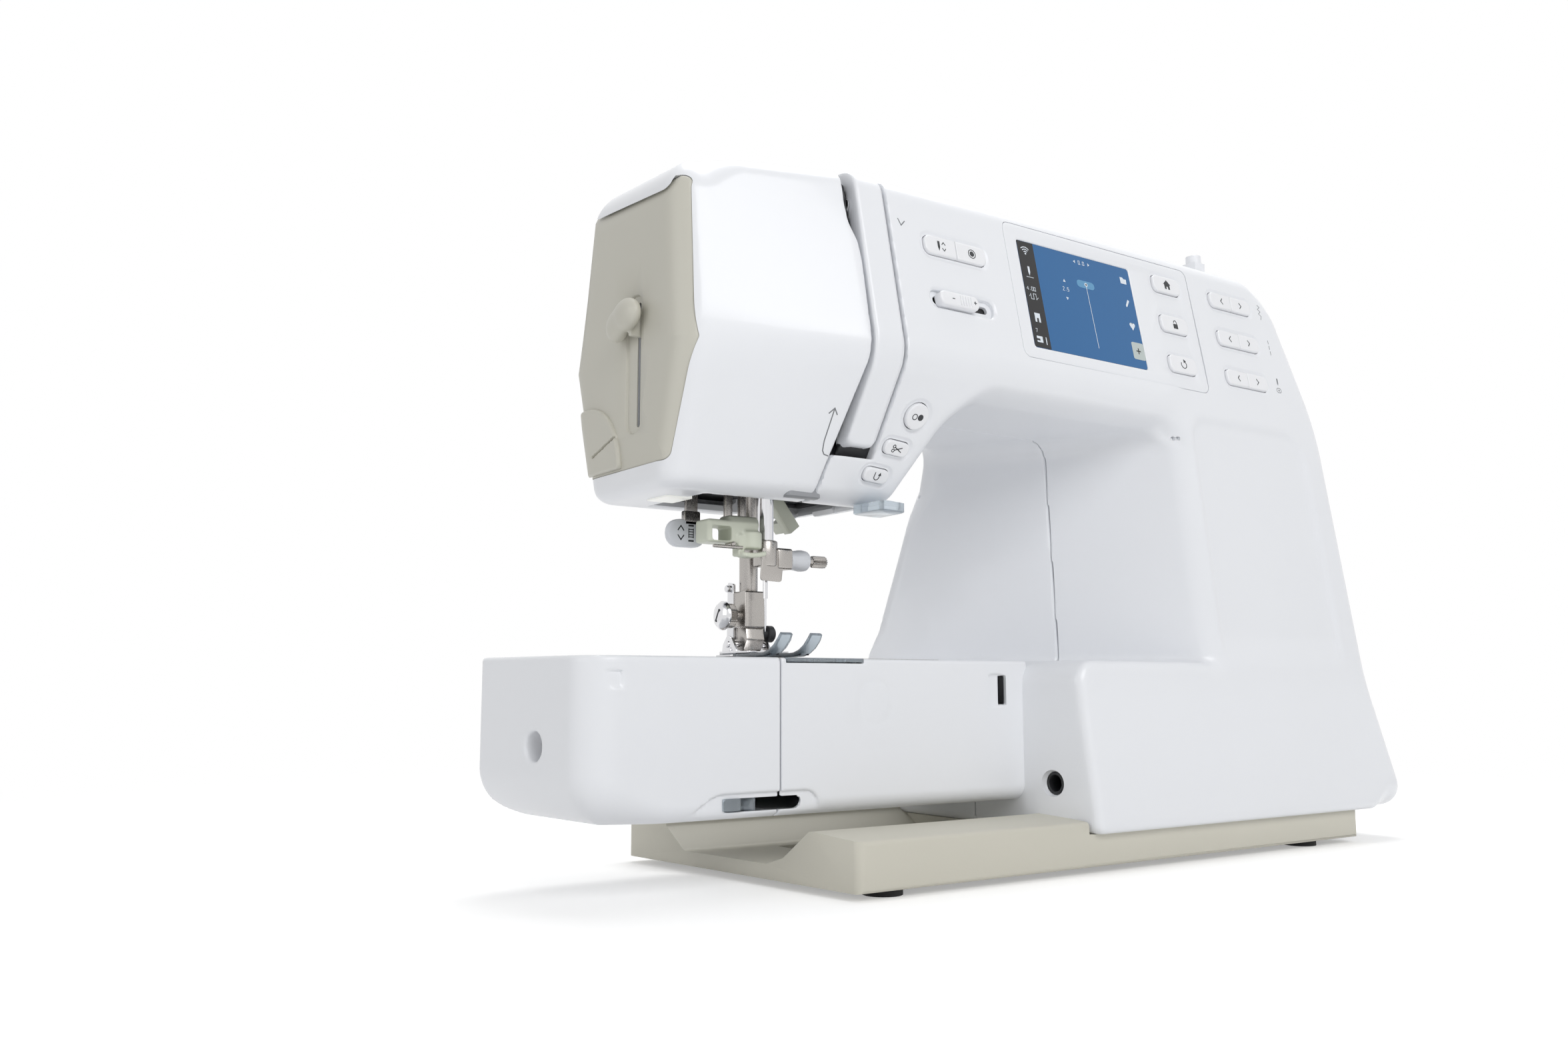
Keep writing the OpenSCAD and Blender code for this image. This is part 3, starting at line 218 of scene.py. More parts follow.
def surface(f, lo, hi, size, fine=()):
    """The surface f = 0 as quads, by surface nets on a graded grid, evaluated near the surface
    only. fine lists (axis, from, to, size). Returns vertices and faces, in millimetres."""
    axes = []
    for k in range(3):
        t = [lo[k]]
        while t[-1] < hi[k]:
            t.append(t[-1] + min([size] + [s for axis, a, b, s in fine
                                           if axis == k and a - size < t[-1] < b]))
        while (len(t) - 1) % BLOCK:
            t.append(t[-1] + size)
        axes.append(np.array(t))
    count = [len(t) for t in axes]
    stride = np.array([count[1] * count[2], count[2], 1])
    starts = [np.arange(0, n - 1, BLOCK) for n in count]
    grid = np.stack(np.meshgrid(*starts, indexing="ij"), -1).reshape(-1, 3)
    low = np.stack([axes[k][grid[:, k]] for k in range(3)], -1)
    high = np.stack([axes[k][grid[:, k] + BLOCK] for k in range(3)], -1)
    mid = (low + high) / 2
    grid = grid[np.abs(f(*mid.T)) < np.linalg.norm(high - low, axis=1) * REACH]
    verts, keys, edges = [], [], []
    offsets = np.stack(np.meshgrid(*[np.arange(2)] * 3, indexing="ij"), -1).reshape(-1, 3)
    start, end = np.array([(a, b) for a in range(8) for b in range(a + 1, 8)
                           if np.abs(offsets[a] - offsets[b]).sum() == 1]).T
    span = np.arange(BLOCK + 1)
    for part in np.array_split(grid, max(1, len(grid) // BLOCKS_AT_ONCE)):
        X, Y, Z = (axes[k][part[:, k, None] + span] for k in range(3))
        val = f(*np.broadcast_arrays(X[:, :, None, None], Y[:, None, :, None], Z[:, None, None, :]))
        inside = val < 0
        corner = np.stack([inside[:, a:a + BLOCK, b:b + BLOCK, c:c + BLOCK]
                           for a, b, c in offsets], -1)
        b, i, j, k = np.nonzero(corner.any(-1) & ~corner.all(-1))
        cell = np.stack([i, j, k], -1)
        i, j, k = np.moveaxis(cell[:, None] + offsets, -1, 0)
        b = b[:, None]
        # where the cell's edges cross the surface
        value, point = val[b, i, j, k], np.stack([X[b, i], Y[b, j], Z[b, k]], -1)
        cross = (value[:, start] < 0) != (value[:, end] < 0)
        t = value[:, start] / np.where(cross, value[:, start] - value[:, end], 1)
        hit = point[:, start] + (point[:, end] - point[:, start]) * t[..., None]
        verts.append((hit * cross[..., None]).sum(1) / cross.sum(1)[:, None])
        keys.append((part[b[:, 0]] + cell) @ stride)
        for axis, o in enumerate(np.eye(3, dtype=int)):
            first = inside[:, :BLOCK, :BLOCK, :BLOCK]
            second = inside[:, o[0]:o[0] + BLOCK, o[1]:o[1] + BLOCK, o[2]:o[2] + BLOCK]
            eb, ei, ej, ek = np.nonzero(first != second)
            ge = part[eb] + np.stack([ei, ej, ek], -1)
            edges.append(np.column_stack([np.full(len(eb), axis), ge, first[eb, ei, ej, ek]]))
    verts, keys, edges = np.concatenate(verts), np.concatenate(keys), np.concatenate(edges)
    order = np.argsort(keys)
    verts, keys = verts[order], keys[order]
    # pull each vertex onto the surface
    home = verts.copy()
    for _ in range(3):
        d = f(*verts.T)
        g = np.stack([f(*(verts + e).T) - f(*(verts - e).T)
                      for e in PROBE * np.eye(3)], -1) / (2 * PROBE)
        verts = verts - g * (d / np.maximum((g * g).sum(1), 0.2))[:, None]
        verts = home + np.clip(verts - home, -size * LEASH, size * LEASH)
    faces = []
    for axis in range(3):
        own = edges[edges[:, 0] == axis]
        u, v = stride[(axis + 1) % 3], stride[(axis + 2) % 3]
        base = own[:, 1:4] @ stride
        quad = np.column_stack([base - u - v, base - v, base, base - u])
        at = np.searchsorted(keys, quad)
        at[at >= len(keys)] = 0
        good = (keys[at] == quad).all(1)
        quad = at[good]
        flip = own[good, 4] == 0
        quad[flip] = quad[flip][:, ::-1]
        faces.append(quad)
    return verts, np.concatenate(faces)


def shade_smooth(mesh, angle):
    """Smooth shading, but for edges sharper than angle in degrees."""
    mesh.polygons.foreach_set("use_smooth", [True] * len(mesh.polygons))
    mesh.set_sharp_from_angle(angle=math.radians(angle))


def add_mesh(name, verts, faces, mat, body=None, smooth=None, slot=None):
    """A mesh object from needle coordinates, riding a CAD body if one is named."""
    me = bpy.data.meshes.new(name)
    me.from_pydata(place(verts).tolist(), [], [list(map(int, q)) for q in faces])
    me.validate()
    me.materials.append(mat)
    o = bpy.data.objects.new(name, me)
    scene.collection.objects.link(o)
    if smooth is not None:
        shade_smooth(me, smooth)
    if body:
        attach(o, body)
        slot or SLOTS[mat.name]
    return o


# ---- the housing's form ----
CREASE_Z = 211.5  # where the front's upper and lower faces meet
TOP_Z = 291
THROAT_Z = 201
BED_Z = 90.5
HEAD_Z = 155
HOUSING_Z = 16.8
WHEEL_Z = 243
HUB_R = 29
HUB_END_X = 314.1
FRONT_Y = -66.0
LEFT_X = -66.0
BEND_X = 8  # the head's front turns back to the left of it
FLARE_X, FLARE_RUN = 128, 14  # the column's back starts to flare here


def bend(x):
    return ramp(BEND_X - x, 5)


def front_crease(x):
    return FRONT_Y + 0.3425 * bend(x)


def top_height(x, y):
    return (TOP_Z - 0.0676 * bend(x) + 0.0131 * ramp(x - BEND_X, 5)
            - 0.0131 * ramp(x - 160, 10) + 0.0695 * (y + 48.5))


def hub(x, y, z, start):
    """The round boss behind the handwheel."""
    return all_of(np.hypot(y, z - WHEEL_Z) - HUB_R, x - HUB_END_X, start - x)


def throat_wall(x, y, z):
    k = 0.494 + np.clip((210 - z) / 116, 0, 1) * 0.191
    return (148 + (33 - y) * k - x) / np.sqrt(1 + k * k)


def recess_depth(x, z):
    """How deep the broad panel on the column's front is sunk."""
    left = 192 + (THROAT_Z - z) * 0.159 + 13 - x
    right = x - (292 + (204 - z) * 0.2435)
    d = both(both(left, z - 207.5, 10), right, 14)
    return 2.4 * step((2.5 - d) / 5) * step((z - 88) / 16)


def housing(x, y, z):
    """The whole white housing: one outer skin, hollowed by the profile of head, throat and bed.
    Each sloping face is divided by its slope's length, to give a distance."""
    q = bend(x)
    mu = 0.2 - 0.00166 * q
    ml = 0.625 - 0.00592 * q
    turn = np.where(x < BEND_X, 1.057, 1)
    crease = front_crease(x)
    up = (crease + (z - CREASE_Z) * mu - y) / (1.02 * turn)
    low = (crease + (CREASE_Z - z) * ml - y) / (np.sqrt(1 + ml * ml) * turn)
    sunk = (-65.5 - 0.1294 * ramp(82.5 - z, 10) + recess_depth(x, z) - y) / 1.008
    t = step((x - 110) / 40)
    start, run = 130 + 74 * t, 20 - 8 * t
    below = step((start - z) / run)
    front = low + (sunk - low) * np.maximum(step((x - 186) / 16), below)
    inward = (y - 56 + (213.5 - z) * 0.325) / 1.05
    flared = both((y - 56 - (CREASE_Z - z) * 0.3457) / 1.058, y - 84, 30)
    across = step((x - FLARE_X) / FLARE_RUN)
    u, v = np.clip((x - FLARE_X) / FLARE_RUN, 0, 1), np.clip((start - z) / run, 0, 1)
    steep = np.where(across >= below, u * (1 - u) / FLARE_RUN, v * (1 - v) / run)
    rear = inward + (flared - inward) * np.maximum(across, below)
    rear = rear / np.sqrt(1 + (6 * steep * (flared - inward)) ** 2)
    rear = both((y - 56 + (z - 213.5) * 0.2105) / 1.022, rear, 5)
    right = (x - 313 - (CREASE_Z - z) * 0.2586) / 1.033
    skin = both(both(up, front, 5), LEFT_X - x, 10)
    skin = both(both(skin, right, 12), rear, 11)
    skin = both(skin, (z - top_height(x, y)) / 1.003,
                7 + 9 * step((-38 - x) / 16) + 17 * step((x - 268) / 26))
    skin = both(skin, HOUSING_Z - z, 3 + 11 * step((x - 325) / 20))
    wall = (x - 43 - (z - HEAD_Z) * 0.4348) / 1.09
    side = (120 - 0.145 * (np.minimum(y, -35) + 65) - x) / 1.01
    upper = either(both(wall, HEAD_Z - z, 6), THROAT_Z - z, 16)
    lower = either(throat_wall(x, y, z), both(z - BED_Z, side, 10), 3)
    rim = 6 + 3 * step((x - 60) / 20) - 5.5 * step((110 - z) / 20) * step((230 - x) / 40)
    body = both(skin, either(upper, lower, 10), rim)
    return either(body, hub(x, y, z, 296), 1.5)


# the head cover's edge: heights and the x it has there
COVER_EDGE = ([154.8, 167.7, 183.3, 197.7, 212, 250, 258, 266, 274, 310],
              [2.7, 3.8, 5.3, 6.6, 7.8, 8.3, 7.6, 4.6, 3.7, 3.8])
STRIP = (9.2, 24.2)
STRIP_END = 176.4
ARM_EDGE = 25.6
SEAM_Y = -3
GAP = 0.2  # half of a seam's gap


def cover_edge(z):
    return np.interp(z, *COVER_EDGE)


def hollow(skin, h, extra=0):
    """Leaves the wall, and extra more of it, under the outer skin h."""
    return np.maximum(skin, -(h + WALL + extra))


def window(x, y, z):
    """The openings under the head, where the bars come out."""
    a = box(x, y, z, (-42, -20, None), (34, 24, 162))
    b = box(x, y, z, (20, 14, None), (40, 33, 162))
    return np.minimum(a, b)


def head_cover(x, y, z):
    h = housing(x, y, z)
    edge = x - cover_edge(z)
    skin = both(h, edge, 1.3)
    skin = hollow(skin, h, 5 * step((edge + 4.5) / 2.5))
    skin = both(skin, y - 36, 0.4)
    return less(skin, window(x, y, z), 0.8)


def thread_strip(x, y, z):
    h = housing(x, y, z) - 0.9 * step((23 - x) / 0.9)
    ends = both(both(STRIP[0] - x, x - STRIP[1], 0.5), STRIP_END - z, 3.5)
    skin = both(both(h, ends, 1.2), y - 29.6, 0.4)
    return hollow(skin, h, 4 * step((13.5 - x) / 2.5))


def front_part(x, y, z):
    h = housing(x, y, z)
    edge = np.minimum(ARM_EDGE - x, np.maximum(cover_edge(z) + 0.9 - x, z - 172.6))
    skin = both(h, edge, 1)
    skin = both(skin, y - (SEAM_Y - GAP), 0.4)
    skin = hollow(skin, h, 4 * step((edge + 4.5) / 2.5))
    return less(skin, window(x, y, z), 0.8)


def rear_part(x, y, z):
    h = housing(x, y, z)
    edge = np.minimum(np.maximum(ARM_EDGE - x, SEAM_Y + GAP - y), np.maximum(7.6 - x, 30 - y))
    edge = np.minimum(edge, 36.4 - y)
    edge = np.minimum(edge, all_of(STRIP[0] - x, SEAM_Y + GAP - y, z - 200))
    skin = both(h, edge, 0.4)
    skin = hollow(skin, h)
    rim = all_of(hub(x, y, z, 290), 24 - np.hypot(y, z - WHEEL_Z), SEAM_Y + GAP - y)
    skin = np.where((x > 285) & (np.abs(z - WHEEL_Z) < 40), np.minimum(skin, rim), skin)
    return less(skin, window(x, y, z), 0.8)


def thread_cutter(x, y, z):
    """The thread cutter's quarter round on the side panel's lower corner."""
    round_edge = np.hypot(np.maximum(36 - y, 0), z - 166) - 29.5
    sides = both(round_edge, np.maximum(166.4 - z, y - 43), 1.5)
    body = both(housing(x, y, z) - 1.7, sides, 1.2)
    body = np.maximum(body, x + 64.8)
    slit = all_of(np.abs(z - 172 - (36 - y) * 0.3) - 0.5, y - 30, x + 66.2)
    return less(body, slit, 0.2)


def threader_knob(x, y, z):
    """The threader's thumb piece: a flat cap of two lobes on a neck."""
    a = np.sqrt(((y + 6) / 9) ** 2 + ((z - 226.5) / 6.6) ** 2 + ((x + 71) / 4.2) ** 2)
    b = np.sqrt(((y - 3.5) / 6) ** 2 + ((z - 223.5) / 6.2) ** 2 + ((x + 70.2) / 4.2) ** 2)
    lobes = either((a - 1) * 4.6, (b - 1) * 4.4, 2.5)
    neck = block(y, z, x, (-5.6, 224, -66.4), (1, 6, 3.2), 0.9, 0.5)
    return either(lobes, neck, 1)


ARM_WALL = 2.2
ARM_SEAM = -15.9
ARM_FRONT_Y = -35
TOWER_Z = 57
RING = (31.1, 72.7)  # the middle of the round mark on the free arm


def free_arm(x, y, z):
    left = (-99.5 - (y + 35) * 0.13636 - x) / 1.009
    d = both(ARM_FRONT_Y - y, left, 13)
    d = both(d, y - 42, 5)
    d = both(d, 29 - z, 7 + 12 * step((-62 - x) / 36))
    return both(d, z - BED_Z, 1.6)


def drop_recess(x, z):
    """The seat round the feed-drop lever."""
    d = both(-46 - 9.5 * (39.7 - z) / 8 - x, x - 2.6 + (z - 30) * 0.15, 4)
    return both(d, z - 38.8, 5)


def arm_openings(d, x, y, z):
    """Cuts the plate's seat, the bobbin cover's notch and the drop lever's slot."""
    for lo, hi in (((-15.2, -33.2, 88.4), (68.2, 38.2, None)),
                   ((-13.5, None, 88.4), (25.5, -5, None)), ((-12, -31, 84), (66, 35, None))):
        d = less(d, box(x, y, z, lo, hi), 0.25)
    d = less(d, np.maximum(drop_recess(x, z), y + 33.6), 0.9)
    slot = both(both(-41.5 - x, x + 6.5, 2), np.abs(z - 34.4) - 2.5, 2)
    return less(d, np.maximum(slot, y + 20), 0.4)


def arm_shell(x, y, z):
    d = free_arm(x, y, z)
    skin = both(d, ARM_SEAM + GAP - x, 0.35)
    skin = np.maximum(skin, x - 118.5)
    skin = np.maximum(skin, -(d + ARM_WALL))
    skin = arm_openings(skin, x, y, z)
    ring = np.maximum(np.abs(np.hypot(x - RING[0], z - RING[1]) - 9) - 0.5, y + 34.5)
    skin = less(skin, ring, 0.4)
    skin = less(skin, box(x, y, z, (101.9, None, 71.2), (105.9, -25, 83.8)), 0.3)
    return less(skin, box(x, y, z, (95.5, None, 70.6), (102.5, -34, 84.4)), 0.6)


def arm_end(x, y, z):
    d = free_arm(x, y, z)
    skin = both(d, x - ARM_SEAM + GAP, 0.35)
    skin = np.maximum(skin, -(d + ARM_WALL))
    tower = all_of(np.hypot(y, z - TOWER_Z) - 8.2, d, x + 93)
    skin = np.minimum(skin, tower)
    skin = arm_openings(skin, x, y, z)
    skin = less(skin, np.maximum(np.hypot(y, z - TOWER_Z) - 5.6, x + 97), 1.2)
    notch = both(np.abs(x + 91.5) - 6.3, np.abs(z - 82) - 2.8, 1)
    return less(skin, np.maximum(notch, y + 33.8 + (84 - z) * 0.1), 0.6)


def groove_liner(x, y, z):
    """A dark sheet behind the grooves beside the thread strip: painted shade, which makes the gaps
    look dark.
    """
    h = housing(x, y, z)
    d = np.maximum(h + 4.3, -(h + 6.5))
    part = np.minimum(*[np.maximum(a - x, x - b) for a, b in ((1.5, 7.8), (9.8, 27.5))])
    return all_of(d, part, y + 2, 168 - z)


def head_floor(x, y, z):
    """The dark plate inside the head's mouth, with the holes that the bars pass."""
    d = box(x, y, z, (-44, -24, 161.5), (42, 34, 163.5))
    d = np.maximum(d, np.where(x > 34, 10 - y, -1))
    for cx, cy, r in ((0, 0, 4.6), (0, 13, 5.2), (-19, 0, 3.2)):
        d = less(d, np.hypot(x - cx, y - cy) - r, 0.3)
    d = less(d, box(x, y, z, (-36.5, 8, None), (-27.5, 12, None)), 0.3)
    return less(d, box(x, y, z, (8, 17, None), (38, 32, None)), 0.3)


MACHINE = "machine"
# name, field, the box it lies in, cell size, material, body, finer bands, replaced node
SHELLS = [
    ("head_cover_shell", head_cover, (-68, -70, 150), (12, 40, 298), 1.5, WHITE, MACHINE,
     ((0, 1, 9, 0.7), (1, 34, 37, 0.7)), "head_cover"),
    ("thread_strip_cover", thread_strip, (7, -70, 172), (27, 32, 300), 1.2, WHITE, MACHINE,
     ((0, 7, 27, 0.6), (2, 172, 181, 0.6)), "thread_strip"),
    ("front_shell", front_part, (1, -78, 14), (362, 1, 300), 1.7, WHITE, MACHINE,
     ((0, 1, 27, 0.8), (1, -5, -1, 0.8), (2, 168, 176, 0.8)), "front_housing"),
    ("rear_shell", rear_part, (-68, -8, 14), (362, 87, 303), 2, WHITE, MACHINE,
     ((1, -5, -1, 0.9),), "rear_housing"),
    ("thread_cutter_cap", thread_cutter, (-70, 4, 163), (-63, 46, 198), 0.8, BEIGE, MACHINE, (),
     "thread_cutter"),
    ("free_arm_cover", arm_shell, (-18, -37, 27), (120, 44, 92), 1.3, WHITE, MACHINE,
     ((1, -36, -30, 0.65), (2, 85, 92, 0.6), (0, -17, -12, 0.6), (2, 29, 41, 0.7)),
     "free_arm_shell"),
    ("free_arm_end_cover", arm_end, (-112, -37, 27), (-15, 44, 92), 1.3, WHITE, MACHINE,
     ((1, -36, -30, 0.65), (0, -112, -96, 0.8), (2, 29, 41, 0.7)), "free_arm_end"),
    ("threader_thumb_cap", threader_knob, (-77, -16, 216), (-62, 11, 235), 0.6, BEIGE,
     "threader_lever", (), "threader_lever"),
    # a dark sheet of painted shade behind the grooves beside the thread strip
    ("groove_liner", groove_liner, (0, -66, 166), (29, 0, 292), 1.2, DARK, MACHINE, (), None),
    ("head_floor", head_floor, (-46, -26, 160), (44, 36, 165), 0.9, DARK, MACHINE, (), None),
]
shells = {}
for name, field, lo, hi, cell, mat, body, fine, node in SHELLS:
    shells[node] = add_mesh(name, *surface(field, lo, hi, cell, fine), mat, body, 50)
    if node:
        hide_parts(node)

# ---- lofts, cut-outs and prints ----
UPPER, LOWER = 11.3, -32  # how far the front's two faces lean back, in degrees


def outline(points, r, n=6):
    """A convex polygon, anticlockwise, with rounded corners: its outline for a given growth."""
    p = np.array(points, float)
    d = np.roll(p, -1, 0) - p
    normal = np.column_stack([d[:, 1], -d[:, 0]]) / np.linalg.norm(d, axis=1)[:, None]

    def at(grow=0):
        q = max(r + grow, 0.04)
        out = []
        for c, a, b in zip(p, np.roll(normal, 1, 0), normal):
            m = c + (a + b) / (1 + a @ b) * (grow - q)
            t0, t1 = math.atan2(a[1], a[0]), math.atan2(b[1], b[0])
            t = np.linspace(t0, t0 + (t1 - t0) % (2 * math.pi), n)
            out.append(m + q * np.column_stack([np.cos(t), np.sin(t)]))
        return np.concatenate(out)

    return at


def pill(x, y, w, h, r, turn=0):
    """A rounded rectangle about (x, y)."""
    c, s = math.cos(math.radians(turn)), math.sin(math.radians(turn))
    corners = [(-w / 2, -h / 2), (w / 2, -h / 2), (w / 2, h / 2), (-w / 2, h / 2)]
    return outline([(x + a * c - b * s, y + a * s + b * c) for a, b in corners], r)


def polar(x, y, r, t):
    return np.column_stack([x + r * np.cos(t), y + r * np.sin(t)])


def disc(x, y, r, n=40):
    t = np.arange(n) * 2 * math.pi / n
    return lambda grow=0: polar(x, y, r + grow, t)


def on_face(tilt):
    """Places (x, s) on the front's upper or lower face; s runs up it and h out of it."""
    c, q = math.cos(math.radians(tilt)), math.sin(math.radians(tilt))

    def at(p, h):
        return np.column_stack([p[:, 0], FRONT_Y + p[:, 1] * q - h * c,
                                CREASE_Z + p[:, 1] * c + h * q])

    return at


def on_skin(tilt):
    """The same, pulled along the face's normal onto the housing's skin."""
    face = on_face(tilt)
    out = face(np.zeros((1, 2)), 1) - face(np.zeros((1, 2)), 0)

    def at(p, h):
        q = face(p, 0)
        for _ in range(8):
            q = q - out * housing(*q.T)[:, None]
        return q + out * h

    return at


def on_left(p, h):
    """Places (-y, z) on the head's left side; h runs out of it."""
    x = np.full(len(p), LEFT_X)
    for _ in range(16):
        x = x + housing(x, -p[:, 0], p[:, 1])
    return np.column_stack([x - h, -p[:, 0], p[:, 1]])


def on_plane(origin, right, up, out):
    """Places (u, v) on a flat face."""
    origin, right, up, out = (np.array(v, float) for v in (origin, right, up, out))
    return lambda p, h: origin + p[:, :1] * right + p[:, 1:] * up + h * out


def loft(rings):
    """A closed solid through rings of the same count, anticlockwise and from the bottom up."""
    n = len(rings[0])
    faces = [tuple(range(n))[::-1]]
    for k in range(len(rings) - 1):
        faces += [(k * n + i, k * n + (i + 1) % n, (k + 1) * n + (i + 1) % n, (k + 1) * n + i)
                  for i in range(n)]
    faces.append(tuple(range((len(rings) - 1) * n, len(rings) * n)))
    return np.concatenate(rings), faces


def solid(at, shape, levels):
    """A loft of one outline; levels lists (height, growth) from the bottom up."""
    return loft([at(shape(grow), h) for h, grow in levels])


def prism(at, shape, low, high):
    return solid(at, shape, ((low, 0), (high, 0)))


def join(parts):
    """Several solids as one mesh."""
    verts, faces, start = [], [], 0
    for v, f in parts:
        verts.append(v)
        faces += [tuple(i + start for i in q) for q in f]
        start += len(v)
    return np.concatenate(verts), faces


def piece(name, parts, mat, body=MACHINE, node=None, smooth=40, slot=None):
    """Solids as one mesh on a body; it replaces the node that is named."""
    o = add_mesh(name, *join(parts), mat, body, smooth, slot)
    if node:
        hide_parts(node)
    return o


def carve(target, parts):
    """Cuts solids, which don't touch each other, out of a piece."""
    cutter = add_mesh("cutter", *join(parts), target.data.materials[0])
    cut = target.modifiers.new("cut", "BOOLEAN")
    cut.object, cut.operation, cut.solver = cutter, "DIFFERENCE", "MANIFOLD"
    graph = bpy.context.evaluated_depsgraph_get()
    done = bpy.data.meshes.new_from_object(target.evaluated_get(graph))
    target.modifiers.clear()
    before = len(target.data.polygons)
    target.data = done
    assert len(done.polygons) != before, target.name
    bpy.data.objects.remove(cutter)
    shade_smooth(done, 40)


def ribbon(points, width, at, top, bottom, closed=False):
    """A flat line with mitred corners."""
    p = np.array(points, float)
    d = np.roll(p, -1, 0) - p
    if not closed:
        d[-1] = d[-2]
    d /= np.linalg.norm(d, axis=1)[:, None]
    n = np.column_stack([-d[:, 1], d[:, 0]])
    m = np.roll(n, 1, 0)
    if not closed:
        m[0] = n[0]
    side = (n + m) / np.maximum(1 + (n * m).sum(1), 0.5)[:, None] * width / 2
    verts = np.concatenate([at(p + side, top), at(p - side, top), at(p - side, bottom),
                            at(p + side, bottom)])
    k = len(p)
    faces = [(a * k + i, (a + 1) % 4 * k + i, (a + 1) % 4 * k + (i + 1) % k, a * k + (i + 1) % k)
             for i in range(k if closed else k - 1) for a in range(4)]
    if not closed:
        faces += [(0, 3 * k, 2 * k, k), (k - 1, 2 * k - 1, 3 * k - 1, 4 * k - 1)]
    return verts, faces


def arc(x, y, r, a0, a1, n=14):
    return polar(x, y, r, np.radians(np.linspace(a0, a1, n)))


def symbol(name, marks, at, x, y, top, bottom, mat, body=MACHINE, turn=0):
    """A print: marks lists (kind, points, width), where kind is line, loop or fill."""
    c, s = math.cos(math.radians(turn)), math.sin(math.radians(turn))
    parts = []
    for kind, points, width in marks:
        p = np.array(points, float)
        p = np.column_stack([x + p[:, 0] * c - p[:, 1] * s, y + p[:, 0] * s + p[:, 1] * c])
        if kind == "fill":
            area = (p[:, 0] * np.roll(p[:, 1], -1) - np.roll(p[:, 0], -1) * p[:, 1]).sum()
            p = p if area > 0 else p[::-1]
            parts.append(loft([at(p, bottom), at(p, top)]))
        else:
            parts.append(ribbon(p, width, at, top, bottom, kind == "loop"))
    add_mesh(name, *join(parts), mat, body)


def line(*points, width=0.45):
    return ("line", points, width)


def fill(*points):
    return ("fill", points, 0)


def dot(x, y, r, n=16):
    return ("fill", arc(x, y, r, 0, 360 - 360 / n, n), 0)


def circle(x, y, r, width=0.4, n=24):
    return ("loop", arc(x, y, r, 0, 360 - 360 / n, n), width)


DIGITS = {
    "0": ((0, 0), (1, 0), (1, 1.8), (0, 1.8), (0, 0)),
    "2": ((0, 1.5), (0.3, 1.8), (0.8, 1.8), (1, 1.4), (0, 0), (1, 0)),
    "4": ((0.8, 0), (0.8, 1.8), (0, 0.6), (1.1, 0.6)),
    "5": ((1, 1.8), (0, 1.8), (0, 1.05), (0.7, 1.05), (1, 0.7), (0.8, 0), (0, 0)),
    "7": ((0, 1.8), (1, 1.8), (0.4, 0)), ".": ((0.4, 0), (0.4, 0.25)),
}


def figures(text, x, y):
    return [line(*[(x + 1.45 * i + a, y + b) for a, b in DIGITS[c]], width=0.22)
            for i, c in enumerate(text)]


upper, lower = on_face(UPPER), on_face(LOWER)
level = on_plane((0, 0, 0), (1, 0, 0), (0, 1, 0), (0, 0, 1))
from_left = on_plane((0, 0, 0), (0, -1, 0), (0, 0, 1), (-1, 0, 0))
from_right = on_plane((0, 0, 0), (0, 1, 0), (0, 0, 1), (1, 0, 0))
from_front = on_plane((0, 0, 0), (1, 0, 0), (0, 0, 1), (0, -1, 0))

# a key's levels and those of its seat in the housing
CAP = ((-3.2, 0), (0.4, 0), (0.72, -0.1), (0.92, -0.32), (1, -0.7), (0.97, -1.5), (0.94, -2.4))
SEAT = ((-8, 0.4), (-0.55, 0.4), (-0.55, 1), (-0.43, 1.4), (-0.15, 1.9), (-0.02, 2.3),
        (0.1, 2.6), (3, 2.7))
MENU_X, ARROWS_X, NEEDLE_KEYS_X = 202.4, 252.7, 60.5
MENU = {"home_key": 65.3, "lock_key": 43.9, "clear_key": 22.5}
ARROWS = {"width_keys": 64.5, "length_keys": 43.3, "position_keys": 21.7}
LOW_TURN = -5
LOW_KEYS = {"cutter_key": (35.3, -40), "reverse_key": (29.8, -53)}
KEYS = {name: (upper, pill(MENU_X, s, 20, 8.8, 3)) for name, s in MENU.items()}
KEYS["start_stop_key"] = (lower, disc(40, -25, 5.8))
KEYS |= {name: (lower, pill(x, s, 13, 6.3, 2.6, LOW_TURN)) for name, (x, s) in LOW_KEYS.items()}
KEYS["needle_keys"] = (upper, pill(NEEDLE_KEYS_X, 54.3, 35, 8.6, 3.2))
KEYS |= {name: (upper, pill(ARROWS_X, s, 33, 8.2, 3)) for name, s in ARROWS.items()}
PAIRS = {"needle_keys": NEEDLE_KEYS_X} | dict.fromkeys(ARROWS, ARROWS_X)


def half(shape, middle, side):
    """One half of an outline, cut straight beside the middle."""
    def at(grow=0):
        p = shape(grow)
        edge = middle + side * (0.14 - grow * 0.6)
        p[:, 0] = np.maximum(p[:, 0], edge) if side > 0 else np.minimum(p[:, 0], edge)
        return p
    return at


for name, (at, shape) in KEYS.items():
    if name in PAIRS:
        parts = [solid(at, half(shape, PAIRS[name], side), CAP) for side in (-1, 1)]
        parts.append(solid(at, shape, ((-3.4, -0.4), (-0.2, -0.4))))
    else:
        parts = [solid(at, shape, CAP)]
    piece(name + "_cap", parts, KEY, name, name)

